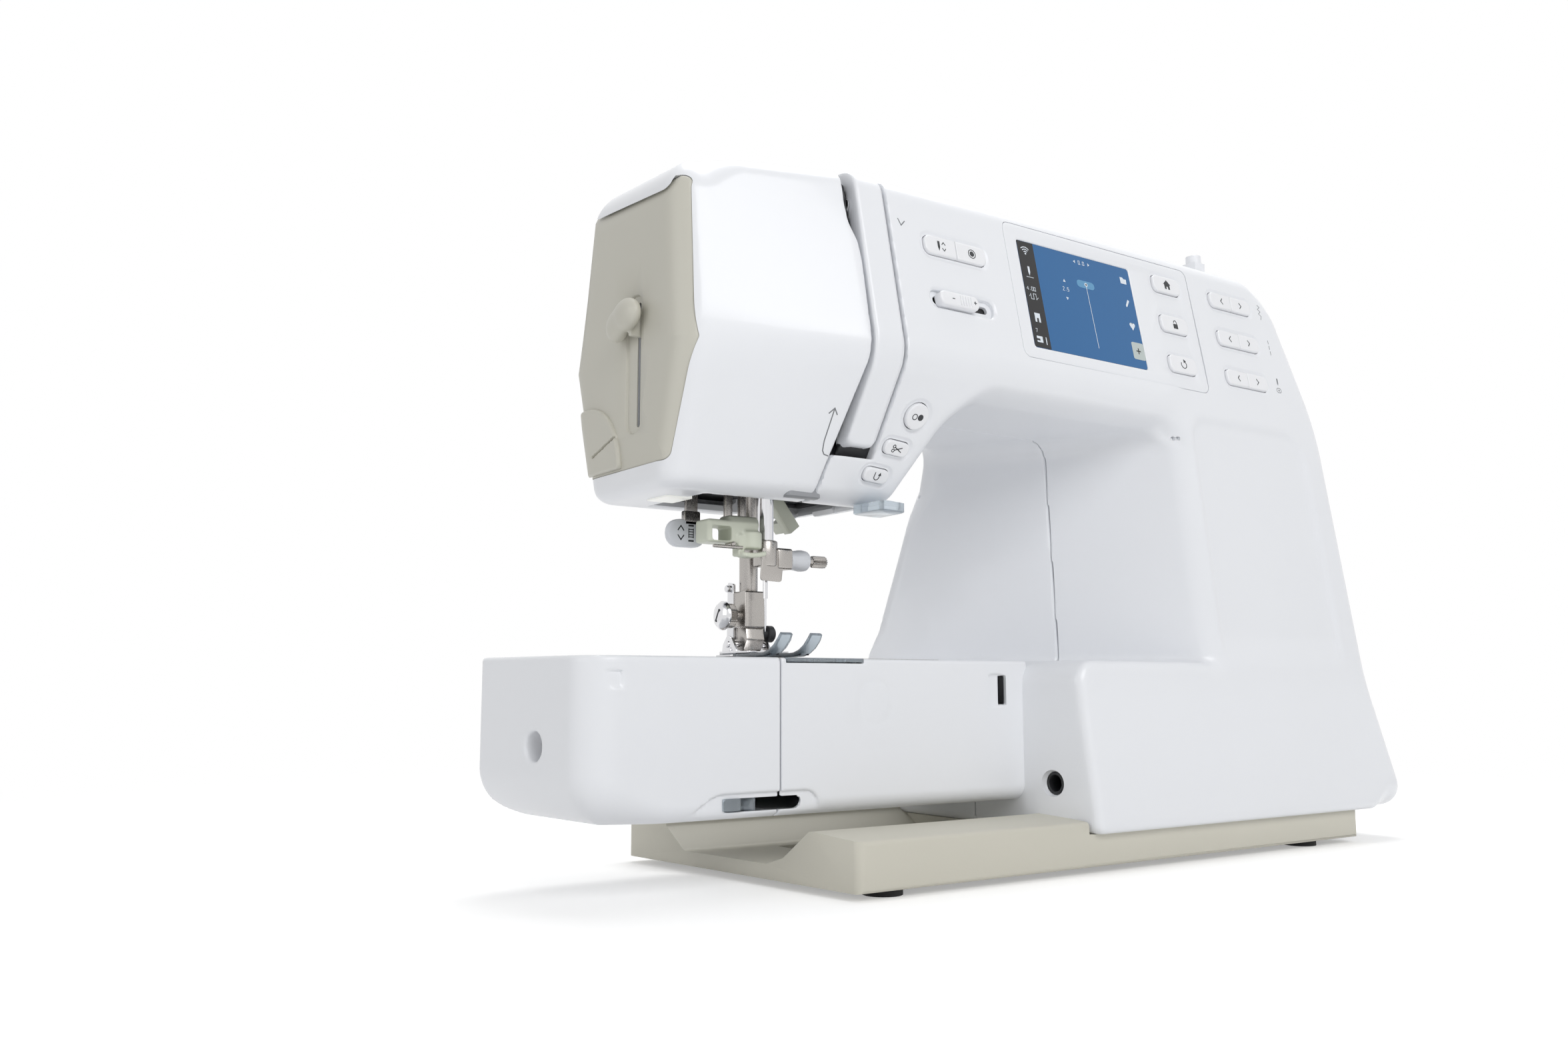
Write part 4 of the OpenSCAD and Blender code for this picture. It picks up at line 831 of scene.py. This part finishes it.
# the display's frame, the front's cut-outs and the slider
BEZEL = pill(156.6, 43.6, 127.8, 66.8, 4)
SCREEN = pill(138.2, 42.6, 75, 52.8, 1.2)
SLIDER_X, SLIDER_S = 60.7, 29.5
seats = {name: solid(at, shape, SEAT) for name, (at, shape) in KEYS.items()}
bezel = piece("display_frame", [solid(on_skin(UPPER), BEZEL, (
    (-1.4, -0.25), (-0.3, -0.25), (-0.08, -0.35), (0, -0.6), (0, -2), (0, -4), (0, -7),
    (0, -11)))], WHITE, node="screen_bezel")
carve(bezel, [seats[name] for name in MENU] + [solid(upper, SCREEN, (
    (-8, 0.1), (-0.5, 0.1), (-0.2, 0.3), (0, 0.8), (3, 1.2)))])
front = shells["front_housing"]
well = solid(level, outline([(71.7, -36.3), (212.3, -36.3), (212.3, 0.3), (71.7, 0.3)], 4),
             ((258, 0), (292, 0), (300, 0.3)))
pocket = solid(upper, pill(SLIDER_X, SLIDER_S, 36, 8, 3.4), (
    (-2.4, 0), (-0.9, 0.1), (-0.4, 0.6), (-0.1, 1.3), (0.1, 1.9), (3, 2)))
knee_hole = solid(from_left, disc(50, 37.1, 5.05), (
    (-130, 0), (-119.6, 0), (-118.9, 0.6), (-117, 0.8)))
carve(front, [prism(upper, BEZEL, -1.5, 3)]
      + [seat for name, seat in seats.items() if name not in MENU]
      + [pocket, well, knee_hole, prism(level, disc(232, -22, 3.4), 280, 298),
         prism(level, pill(256, -30, 8.8, 8.8, 1), 280, 298)])
carve(front, [solid(upper, SCREEN, ((-8, 0.4), (3, 0.4))),
              prism(upper, pill(SLIDER_X, SLIDER_S, 31, 3.4, 1.5), -8, -2.2)]
      + [solid(*KEYS[name], ((-8, 0.5), (3, 0.5))) for name in MENU])

# the side panel in its seat; INWARD steps its two caps in towards the middle, so that they follow
# the skin's curve
PANEL = outline([(-40.5, 283.5), (-50.5, 214), (-35, 165.5), (28.4, 165.5), (41.2, 211.8),
                 (36, 277.5)], 4)
INWARD = (-1, -1.8, -3, -5, -8, -12, -17, -23, -29)
SLIT = (5.6, 207)


def panel_solid(low, high, rim):
    """The panel's outline between two depths, with the levels of its rim."""
    return solid(on_left, PANEL, (*[(low, g) for g in INWARD[::-1]], *rim,
                                  *[(high, g) for g in INWARD]))


panel = piece("side_panel_beige", [panel_solid(-1.5, 0, (
    (-1.5, -0.1), (-0.3, -0.1), (-0.08, -0.2), (0, -0.45)))], BEIGE,
    MACHINE, "side_panel", 35)
slit, track = pill(*SLIT, 2.6, 51, 1.2), pill(3, 207.5, 12.4, 56, 5.6)
carve(panel, [loft([on_left(slit(0), -4), on_left(slit(0), -1.1)] + [
    on_left(track(g), h) for h, g in (
        (-1.1, 0), (-0.75, 0.25), (-0.3, 0.4), (0.02, 0.9), (2, 1.2))])])
seat = panel_solid(-1.6, 1.5, ((-1.6, 0.25), (1.5, 0.25)))
carve(shells["head_cover"], [seat])
carve(shells["head_cover"], [prism(on_left, pill(*SLIT, 3.4, 53, 1.5), -9, 3)])

# the openings of the rear, and the lugs of the handle
LEAN = math.radians(14.5)
HANDLE_X, HANDLE_Y = (62, 222), 31
on_right = on_plane((313 + (CREASE_Z - 90) * 0.2586, 30, 90), (0, 1, 0),
                    (-math.sin(LEAN), 0, math.cos(LEAN)), (math.cos(LEAN), 0, math.sin(LEAN)))
carve(shells["rear_housing"], [
    seat, well, solid(on_right, pill(0, 0, 44, 66, 4), ((-12, 0), (-0.3, 0), (0.1, 0.4), (3, 0.5))),
    prism(from_right, disc(0, WHEEL_Z, 6.4), 300, 318)]
      + [prism(level, pill(x, HANDLE_Y, 10.8, 14, 0.8), 284, 303) for x in HANDLE_X])
lugs = [solid(from_right, outline([(35, 292), (35, 305), (27, 305), (27, 292)], 1.6),
              ((x0, -0.3), (x0 + 0.3, 0), (x0 + 2.7, 0), (x0 + 3, -0.3)))
        for x in HANDLE_X for x0 in (x - 8.4, x + 5.4)]
lugs += [solid(from_right, disc(HANDLE_Y, 302, 1.5, 24), ((x - 6, 0), (x + 6, 0)))
         for x in HANDLE_X]
piece("handle_lugs", lugs, WHITE)
piece("threader_track", [prism(on_left, pill(*SLIT, 8, 56, 2), -4.8, -4)], DARK,
      smooth=None)
piece("slider_track", [prism(upper, pill(SLIDER_X, SLIDER_S, 35, 7, 2), -5, -4.1)],
      DARK, smooth=None)
slide = [solid(upper, pill(57.2, SLIDER_S, 22, 6.6, 2.9), (
    (-2.2, 0), (1.2, 0), (1.65, -0.18), (1.9, -0.5), (2, -1)))]
slide += [solid(upper, pill(57.4 + 1.5 * k, SLIDER_S, 0.8, 4.6, 0.35), (
    (1.5, 0), (2.2, 0), (2.4, -0.18))) for k in range(5)]
piece("slider_knob", slide, KEY, "speed_slider", "speed_slider")

# prints on the keys
NEEDLE_MARK = fill((-0.6, 2.2), (0.6, 2.2), (0.6, -0.6), (0, -2.4), (-0.6, -0.6))
LEFT_MARK = line((0.8, 1.6), (-0.7, 0), (0.8, -1.6))
RIGHT_MARK = line((-0.8, 1.6), (0.7, 0), (-0.8, -1.6))
HOUSE = fill((-1.9, 0.2), (-1.9, -2.3), (-0.6, -2.3), (-0.6, -0.9), (0.6, -0.9), (0.6, -2.3),
             (1.9, -2.3), (1.9, 0.2), (2.7, 0.2), (0, 2.7), (-2.7, 0.2))
LOCK = (fill((-1.6, -2.3), (1.6, -2.3), (1.6, 0.2), (-1.6, 0.2)),
        line((1, 0.1), *arc(0, 1, 1, 0, 180, 9), (-1, 0.8), width=0.42))
TURN = (line(*arc(0, 0, 1.9, 70, -210, 22), width=0.42), fill((0.2, 2.9), (0.2, 0.9), (1.9, 1.9)))
UP_DOWN = [line((1.8, q * 0.8), (2.8, q * 2), (3.8, q * 0.8), width=0.35) for q in (1, -1)]
START_STOP = (circle(-1.55, 0, 1.2, 0.35), dot(1.5, 0, 1.4))
SCISSORS = [circle(-1.9, q * 0.95, 0.65, 0.35, 14) for q in (1, -1)]
SCISSORS += [line((-1.3, q * 0.65), (2.5, q * -1), width=0.4) for q in (1, -1)]
BACK = (line((-1.3, 1.7), (-1.3, -0.3), *arc(0, -0.3, 1.3, 190, 350, 9), (1.3, -0.3), (1.3, 0.6),
             width=0.38), fill((0.5, 0.5), (2.1, 0.5), (1.3, 2)))
PRINTS = [(name, marks, MENU_X, MENU[name]) for name, marks in (
    ("home_key", [HOUSE]), ("lock_key", LOCK), ("clear_key", TURN))]
PRINTS += [("needle_keys", [NEEDLE_MARK, *UP_DOWN], 50.6, 54.3),
           ("needle_keys", [circle(0, 0, 2, 0.35), dot(0, 0, 1.25)], 69.6, 54.3),
           ("start_stop_key", START_STOP, 40, -25),
           ("cutter_key", SCISSORS, *LOW_KEYS["cutter_key"]),
           ("reverse_key", BACK, *LOW_KEYS["reverse_key"])]
PRINTS += [(name, [mark], x, s) for name, s in ARROWS.items()
           for mark, x in ((LEFT_MARK, 245.2), (RIGHT_MARK, 260.6))]
for k, (name, marks, x, s) in enumerate(PRINTS):
    symbol(f"key_print_{k}", marks, KEYS[name][0], x, s, 1.02, 0.85, INK_DARK, name,
           LOW_TURN if name in LOW_KEYS else 0)
symbol("slider_print", [line((-4.6, 0), (-3.2, 0), width=0.4), line((7.6, 0), (9.2, 0), width=0.4),
                        line((8.4, -0.8), (8.4, 0.8), width=0.4)], upper, 57.2, SLIDER_S, 2.04, 1.9,
       INK_DARK, "speed_slider")

# prints on the housing
skin_up, skin_low = on_skin(UPPER), on_skin(LOWER)
MARKS = [
    ("down_arrow", [line((0, 0), (-3.6, -18.9), width=0.5),
                    line((-5, -15.9), (-3.6, -18.9), (-1.3, -16.5), width=0.5)],
     skin_up, 35.2, 79.2),
    ("hooked_arrow", [line((3.8, -20), (1.6, -19.6), (0.4, -18.1), (-0.2, -14), (0, 0),
                           width=0.5), line((-1.9, -2.6), (0, 0), (1.9, -2.5), width=0.5)],
     skin_low, -0.6, -27.2),
    ("width_mark", [line((-0.6, 4.2), (1, 3.2), (-0.9, 1.7), (1, 0.6), (-0.9, -0.9),
                         (1, -2), (0, -4.2), width=0.3)], skin_up, 278.1, 64.4),
    ("length_mark", [line((0, a), (0, b), width=0.35) for a, b in (
        (4.2, 2.2), (1.2, -1), (-2, -4.2))], skin_up, 279.7, 44.3),
    ("position_mark", [fill((-0.5, 4.2), (0.5, 4.2), (0.5, 1.6), (0, 0.4), (-0.5, 1.6)),
                       dot(0, -2.4, 0.5), ("loop", pill(0, -2.4, 3.6, 2.4, 1.1)(), 0.3)],
     skin_up, 279.7, 22.6),
]
for name, marks, at, x, s in MARKS:
    symbol(name, marks, at, x, s, 0.05, -0.12, INK)

# what the display shows: each mark and where it stands
HEART = ("fill", np.concatenate([arc(-0.9, 0.6, 1, 200, 20, 9), arc(0.9, 0.6, 1, 160, -20, 9),
                                 [(0, -2.2)]]), 0)
SHOWN = [(line(*arc(0, 0, r, 45, 135, 9), width=0.4), 105.3, 62.6) for r in (1.3, 2.4, 3.5)]
SHOWN += [
    (dot(0, 0.2, 0.5, 10), 105.3, 62.6), (NEEDLE_MARK, 105.6, 54.2),
    (line((-2.2, 0), (2.2, 0), width=0.25), 105.6, 51),
    (line((-2.6, 0), (-1.6, 1.6), (-1.6, -1.2), (0, -1.2), (0, 1.6), (1.6, 1.6), (1.6, -1.2),
          (2.8, 0), width=0.25), 105.6, 41.2),
    (fill((-1.7, 2.2), (1.7, 2.2), (1.7, -2.2), (0.6, -2.2), (0.6, -0.2), (-0.6, -0.2),
          (-0.6, -2.2), (-1.7, -2.2)), 105.6, 31),
    (fill((-1.8, 1.4), (1.8, 1.4), (1.8, -1.6), (-1.8, -1.6), (-1.8, -0.8), (0.2, -0.8),
          (0.2, 0.2), (-1.8, 0.2)), 104.6, 20.4),
    (line((0, 1.8), (0, -1.8), width=0.5), 108.6, 20),
    (fill((-0.6, 0), (0.6, 0.8), (0.6, -0.8)), 137.6, 65.6),
    (fill((-0.6, 0.8), (-0.6, -0.8), (0.6, 0)), 147.4, 65.6),
    (fill((-0.8, 0), (0.8, 0), (0, 1.4)), 128.2, 53.2),
    (fill((-0.8, 1.4), (0.8, 1.4), (0, 0)), 128.2, 43.9),
    (line((0, 0), (0.5, -31.4), width=0.25), 142.9, 53.6),
    (fill((-2, -1.6), (2, -1.6), (2.2, 1), (0.3, 1), (-0.2, 1.7), (-2.2, 1.7)), 170.8, 62),
    (fill((-1.3, -2.2), (-0.5, -2), (1.5, 1.2), (0.5, 1.8), (-1.4, -1.4)), 170.6, 50.2),
    (HEART, 170.8, 38.1),
]
SHOWN += [(mark, 0, 0) for text, x, s in (("4.00", 102.2, 44.3), ("7", 103, 23.6),
                                          ("0.0", 140.4, 64.7), ("2.5", 126.3, 48.6))
          for mark in figures(text, x, s)]
LIT = [(kind, np.array(points, float) + (x, s), width) for (kind, points, width), x, s in SHOWN]
PLUS = [line((-1.5, 0), (1.5, 0), width=0.55), line((0, -1.5), (0, 1.5), width=0.55)]


def patch(*size):
    return [("fill", pill(*size)(), 0)]


for name, marks, x, s, top, bottom, mat in (
        ("marks", LIT, 0, 0, -0.28, -0.42, SCREEN_LIGHT),
        ("bar", patch(105.9, 42.6, 10.2, 52.6, 0.3), 0, 0, -0.34, -0.45, SCREEN_BLACK),
        ("slot", patch(142.7, 54.4, 11.8, 3.8, 1.8), 0, 0, -0.34, -0.45, SCREEN_MID),
        ("needle", [dot(142.9, 54.4, 1, 16)], 0, 0, -0.25, -0.4, SCREEN_LIGHT),
        ("point", [dot(142.9, 54.4, 0.5, 12)], 0, 0, -0.22, -0.4, SCREEN_BLACK),
        ("add", patch(171.6, 25.2, 8.4, 8.8, 1), 0, 0, -0.34, -0.45, SCREEN_GREY),
        ("plus", PLUS, 171.6, 25.2, -0.28, -0.4, SCREEN_BLACK)):
    symbol("display_" + name, marks, upper, x, s, top, bottom, mat)

# ---- needle, foot and threader ----
CLAMP_Z = 133
ANKLE_SCREW = (-13, 109)
KNOB_Z = 142.6


def toothed(x, y, r, teeth, deep):
    """A knurled round."""
    t = np.arange(teeth * 4) * math.pi / (2 * teeth)
    edge = r - deep * (0.5 - 0.5 * np.cos(t * teeth))
    return lambda grow=0: polar(x, y, edge + grow, t)


def bar(at, shape, start, w, r):
    """A bar of width w from start, with both rims rounded by r."""
    return solid(at, shape, [(h + start, g) for h, g in (
        (0, -r), (r * 0.3, -r * 0.3), (r, 0), (w - r, 0), (w - r * 0.3, -r * 0.3), (w, -r))])


def clamp_sleeve(x, y, z):
    r = np.hypot(y, z - CLAMP_Z)
    sleeve = both(r - 4.4 - 0.25 * np.cos(x * 0.7), np.abs(x - 16.2) - 5.2, 1.2)
    return both(sleeve, 1.6 - r, 0.1)


def bracket(x, y, z):
    """The threader's bracket: a rounded channel with a window, a round boss and a hooked lip."""
    d = block(x, y, z, (-20.5, -2, 142.5), (12.5, 5.5, 4.8), 1.6, 1.2)
    d = either(d, block(x, y, z, (-14.8, -2, 147), (7.7, 4.5, 2.6), 2, 1.8), 1.5)
    d = less(d, block(x, z, y, (-26.3, 141.6, -5), (4.6, 3, 9), 1.2, 0.5), 0.5)
    boss = both(np.hypot(x + 11.5, y + 5) - 5.2, np.abs(z - 139.5) - 3.6, 1)
    d = either(d, boss, 1.2)
    d = either(d, block(x, y, z, (-17.2, -5.5, 137), (1.6, 2.6, 4.5), 0.8, 0.8), 1)
    curl = 0.02 * (x + 14) ** 2
    return either(d, block(x, y, z - curl, (-11.9, -7.8, 132.9), (6.2, 3, 1), 2.2, 0.6), 0.8)


channel = add_mesh("threader_channel", *surface(bracket, (-35, -12, 129), (-3, 5, 152), 0.5), PALE,
                   "threader_bracket", 50)
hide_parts("threader_bracket")
hook_wire = on_plane((0, -8.2, 136), (0, -1, 0), (0, 0, 1), (-1, 0, 0))
piece("threader_rods", [prism(level, disc(x, 0, 1.9, 24), 147, 222) for x in (-19, -12)]
      + [solid(from_front, disc(-22, 137.2, 0.9, 16), ((4, 0), (9.6, 0), (9.9, -0.3))),
         prism(hook_wire, disc(0, 0, 0.7, 16), 17, 31)],
      STEEL, "threader_bracket")

piece("buttonhole_knob", [bar(from_front, pill(-33.2, KNOB_Z, 18, 11.6, 5.4), -12.9, 4.4, 0.9)],
      SOFT, "buttonhole_lever", "buttonhole_lever", slot="pale_plastic")
piece("buttonhole_strap", [
    prism(level, pill(-31, 10, 6, 1.6, 0.6), 147.5, 232),
    solid(level, pill(-31, 10, 8, 3, 0.8), ((146.5, 0), (151.5, 0), (152, -0.4)))],
    STEEL, "buttonhole_lever")
ARROW_HEADS = [line((-1.5, q * 0.9), (0, q * 2.9), (1.5, q * 0.9), width=0.5) for q in (1, -1)]
RUNGS = [line((3.6, z), (6.2, z), width=0.75 if abs(z) > 2.5 else 0.35)
         for z in (-3.2, -1.6, -0.6, 0.6, 1.6, 3.2)]
RAILS = [line((x, -2), (x, 2), width=0.35) for x in (3.8, 6)]
symbol("buttonhole_mark", ARROW_HEADS + RUNGS + RAILS, from_front, -36.6, KNOB_Z, -8.46, -8.6,
       INK_DARK, "buttonhole_lever")

piece("clamp_body", [
    bar(level, disc(0, 0, 5.2), 129.5, 11, 0.7),
    bar(from_right, pill(0, CLAMP_Z, 9.5, 9, 1.2), 3.5, 7.5, 0.5),
    prism(from_right, disc(0, CLAMP_Z, 1.9, 24), 20, 24.5),
    bar(from_right, toothed(0, CLAMP_Z, 2.6, 14, 0.5), 24, 7.5, 0.6),
    bar(from_front, outline([(-5.2, 123.4), (5.5, 123), (7, 136), (-4, 137.5)], 1.2),
        3.4, 0.9, 0.2)], STEEL, "needle_bar", "needle_clamp")
add_mesh("clamp_sleeve", *surface(clamp_sleeve, (9, -6, 127), (23, 6, 139), 0.45), SOFT,
         "needle_bar", 50)

piece("ankle_block", [solid(level, pill(0, 12.2, 11, 11.4, 1.4), (
    (104, -0.5), (104.5, 0), (119, 0), (119.5, -0.5)))], STEEL, "presser_bar", "foot_ankle")
piece("ankle_details", [
    bar(from_right, outline([(20, 95), (21, 106), (8.5, 106), (7, 99), (10, 94)], 1.5),
        -4.6, 9.2, 0.5),
    prism(from_left, disc(*ANKLE_SCREW, 2.6, 30), 5.4, 11),
    bar(from_left, toothed(*ANKLE_SCREW, 5.2, 26, 0.7), 8.2, 4.2, 0.4),
    solid(from_left, disc(*ANKLE_SCREW, 3.4, 30), ((7, -0.4), (7.3, 0), (8.4, 0)))],
    STEEL, "presser_bar")
piece("ankle_screw_head", [solid(from_left, disc(*ANKLE_SCREW, 6.2), (
    (12.2, -0.6), (12.5, 0), (13.2, 0), (14.4, -0.9), (15.3, -2.6), (15.8, -4.4)))],
    CHROME, "presser_bar", slot="steel")
piece("ankle_screw_slot", [solid(from_left, pill(*ANKLE_SCREW, 6, 1.1, 0.3, 60), (
    (14.5, 0), (15.75, 0), (15.85, -0.1)))], INK_DARK, "presser_bar", smooth=None)
piece("ankle_plate", [
    bar(from_left, outline([(-16, 99), (-16, 123), (-20.5, 124), (-21, 99)], 1), 4.6, 1.4, 0.3),
    solid(from_left, disc(-18.6, 121, 1.6, 24), ((5.2, 0), (7.6, 0), (7.9, -0.3)))],
    CHROME, "presser_bar", slot="steel")
piece("release_button", [solid(from_right, disc(9.5, 101.5, 3.6, 32), (
    (4.4, -1.6), (6.6, -1.6), (6.8, -0.3), (7.1, 0), (9.4, 0), (10, -0.6)))],
    DARK, "presser_bar")

# the run of a toe from its back end, as (y, z)
TOE_PATH = [(20, 92), (2, 92), (-8, 92), (-14, 92.3), (-18, 93.4), (-21.5, 95.3), (-24.5, 98),
            (-26.2, 100.3)]


def toe(x):
    """One clear toe of the foot: flat under the needle, curling up at its front end."""
    rings, last = [], len(TOE_PATH) - 1
    for k, (y, z) in enumerate(TOE_PATH):
        a, b = TOE_PATH[max(k - 1, 0)], TOE_PATH[min(k + 1, last)]
        t = np.array([b[0] - a[0], b[1] - a[1]]) / math.hypot(b[0] - a[0], b[1] - a[1])
        q = pill(0, 0, 6.4 - (0.6 if k in (0, last) else 0), 1.7, 0.6)()
        rings.append(np.column_stack([x + q[:, 0], y + t[1] * q[:, 1], z - t[0] * q[:, 1]]))
    return loft(rings)


def slab(x0, y0, x1, y1):
    return [(x0, y0), (x1, y0), (x1, y1), (x0, y1)]


piece("foot_toes", [toe(-7.4), toe(7.4)], CLEAR, "presser_foot", "presser_foot", slot="chrome")
piece("foot_plate", [bar(level, outline(slab(-10.5, 2, 10.5, 21), 2), 93, 0.9, 0.2)]
      + [bar(level, outline(slab(x - 2.4, -3, x + 2.4, 5), 1.2), 93, 0.9, 0.2)
         for x in (-8.1, 8.1)], CHROME, "presser_foot")
EAR = outline([(7, 92.5), (20, 92.5), (19, 97), (15.5, 101), (12, 99.5)], 1.4)
piece("foot_frame", [
    bar(level, outline(slab(-12, 8, 12, 20.5), 1), 91.7, 0.7, 0.2),
    bar(from_right, EAR, -9.2, 1.3, 0.3), bar(from_right, EAR, 7.9, 1.3, 0.3),
    bar(from_right, disc(15, 97, 1.5, 24), -9.8, 19.6, 0.4),
    bar(from_left, disc(-12.5, 94.6, 0.9, 16), 8.9, 1, 0.2)], CHROME, "presser_foot")
piece("foot_lines", [prism(level, pill(x, -6, 0.5, 24, 0.2), 91.9, 92.95)
                     for x in (-9.6, -5.4, 5.4, 9.6)],
      INK_DARK, "presser_foot", smooth=None)

# guides at the head's mouth
piece("clear_guide", [solid(level, outline([(26, -48), (41, -44), (43, -24), (26, -26)], 3), (
    (150.9, -0.8), (151.3, 0), (154.9, 0)))], CLEAR)
piece("head_guide", [
    solid(level, pill(-1.5, -27, 17, 8, 2), ((155.5, -0.8), (156, 0), (161.6, 0))),
    solid(level, pill(-31, -14, 9, 6, 2), ((156.5, -0.8), (157, 0), (161.6, 0)))],
    GREY)

# ---- CAD nodes that keep their shape ----
# a material, the bevel in millimetres, and the nodes that have them
LOOKS = [
    (CREAM, 0.8, "base"), (RUBBER, 0.4, "rubber_feet"), (RUBBER, 0, "belts"),
    (WHITE, 0.4, "top_cover"), (WHITE, 0.6, "carrying_handle"),
    (WHITE, 0.5, "handwheel", "winder_stop", "spool_pin", "spool_cap"),
    (SCREEN_BLUE, 0, "screen"), (LENS, 0.3, "lamp"), (PALE, 0.5, "presser_lifter"),
    (CLEAR, 0.2, "bobbin"), (CLEAR, 0.3, "bobbin_cover"), (CLEAR, 0.4, "feed_drop_lever"),
    (DARK, 0.2, "bobbin_case"), (DARK, 0.3, "knee_socket"), (DARK, 0.4, "power_switch"),
    (DARK, 0.5, "motor"), (GREY, 0.4, "socket_panel"), (BOARD, 0.1, "circuit_board"),
    (CASTING, 0.8, "cast_frame"), (STEEL, 0, "feed_dog"),
    (STEEL, 0.2, "motor_rotor", "hook", "screws"), (STEEL, 0.25, "needle_plate"),
    (STEEL, 0.3, "winder_spindle"), (STEEL, 0.4, "main_shaft", "lower_shaft", "presser_bar"),
    (CHROME, 0, "needle"), (CHROME, 0.1, "take_up_lever"), (CHROME, 0.3, "needle_bar"),
]
SHARP = 35  # degrees
for name, mat, width in [(name, mat, width) for mat, width, *names in LOOKS for name in names]:
    o = nodes[name]
    o.data.materials.clear()
    o.data.materials.append(mat)
    o.data.polygons.foreach_set("material_index", [0] * len(o.data.polygons))
    shade_smooth(o.data, SHARP)
    if width:
        weld = o.modifiers.new("weld", "WELD")
        weld.merge_threshold = 1e-5
        bevel = o.modifiers.new("bevel", "BEVEL")
        bevel.width = width / 1000
        bevel.segments = 2
        bevel.limit_method = "ANGLE"
        bevel.angle_limit = math.radians(SHARP)

# ---- stage, light and camera ----


AMBIENT = 0.34
FLOOR_LIFT = 0.34
FADE = (0.3, 0.75)  # where the floor fades to plain white, in metres from the middle


def glow(n, kind, strength):
    """A plain white emission or background."""
    return shader(n, kind, {"Color": (1, 1, 1, 1), "Strength": strength}).outputs[0]


def any_ray(n, link, *kinds):
    """1 for rays of the named kinds, else 0."""
    path = n.new("ShaderNodeLightPath")
    out = path.outputs[kinds[0]]
    for kind in kinds[1:]:
        most = shader(n, "Math", operation="MAXIMUM")
        link.new(out, most.inputs[0])
        link.new(path.outputs[kind], most.inputs[1])
        out = most.outputs["Value"]
    return out


def mix(n, link, fac, first, second):
    node = n.new("ShaderNodeMixShader")
    for k, out in enumerate((fac, first, second)):
        link.new(out, node.inputs[k])
    return node.outputs["Shader"]


def stage_floor():
    """A floor that keeps the machine's shadow. The camera, and what glossy surfaces show, see it
    fade to plain white."""
    me = bpy.data.meshes.new("floor")
    me.from_pydata([(-6, -6, 0), (8, -6, 0), (8, 6, 0), (-6, 6, 0)], [], [(0, 1, 2, 3)])
    m = bpy.data.materials.new("floor_white")
    n, link = shader_tree(m)
    b = n["Principled BSDF"]
    b.inputs["Base Color"].default_value = (0.86, 0.86, 0.86, 1)
    b.inputs["Roughness"].default_value = 0.9
    b.inputs["Specular IOR Level"].default_value = 0.1
    lifted = n.new("ShaderNodeAddShader")
    link.new(b.outputs["BSDF"], lifted.inputs[0])
    link.new(glow(n, "Emission", FLOOR_LIFT), lifted.inputs[1])
    coords = n.new("ShaderNodeTexCoord")
    far = shader(n, "VectorMath", operation="LENGTH")
    link.new(coords.outputs["Object"], far.inputs[0])
    fade = shader(n, "MapRange", {"From Min": FADE[0], "From Max": FADE[1]},
                  interpolation_type="SMOOTHSTEP")
    link.new(far.outputs["Value"], fade.inputs["Value"])
    near = mix(n, link, fade.outputs["Result"], lifted.outputs["Shader"],
               glow(n, "Emission", 1))
    seen = any_ray(n, link, "Is Camera Ray", "Is Glossy Ray")
    link.new(mix(n, link, seen, b.outputs["BSDF"], near), n["Material Output"].inputs["Surface"])
    me.materials.append(m)
    o = bpy.data.objects.new("floor", me)
    scene.collection.objects.link(o)


stage_floor()

world = bpy.data.worlds.new("studio")
scene.world = world
n, link = shader_tree(world)
n["Background"].inputs["Color"].default_value = (1, 1, 1, 1)
n["Background"].inputs["Strength"].default_value = AMBIENT
direct = any_ray(n, link, "Is Camera Ray", "Is Glossy Ray", "Is Transmission Ray")
link.new(mix(n, link, direct, n["Background"].outputs["Background"],
             glow(n, "Background", 1)), n["World Output"].inputs["Surface"])


def area_light(name, at, look, size, power):
    """A soft box; at, look and size are in metres."""
    light = bpy.data.lights.new(name, "AREA")
    light.shape = "RECTANGLE"
    light.size, light.size_y = size
    light.energy = power
    o = bpy.data.objects.new(name, light)
    o.location = at
    o.rotation_euler = (Vector(look) - Vector(at)).to_track_quat("-Z", "Y").to_euler()
    scene.collection.objects.link(o)


area_light("key", (-0.25, -1.45, 1), (0, 0, 0.15), (1, 0.8), 11)
area_light("top", (0.25, 0.25, 1.5), (0, 0, 0.1), (1, 0.8), 11.5)
area_light("left", (-1.5, -0.1, 0.6), (0, 0, 0.15), (0.8, 0.8), 2.5)

# the camera that was fitted to the photo's edges
camera = bpy.data.cameras.new("camera")
camera.sensor_width = 36
camera.lens = 29.54
camera.clip_start = 0.01
view = bpy.data.objects.new("camera", camera)
view.location = (-0.4299, -0.456807, 0.080)
view.rotation_euler = Euler((math.radians(97.17), 0, math.radians(-34.86)))
scene.collection.objects.link(view)
scene.camera = view
scene.view_settings.view_transform = "Standard"
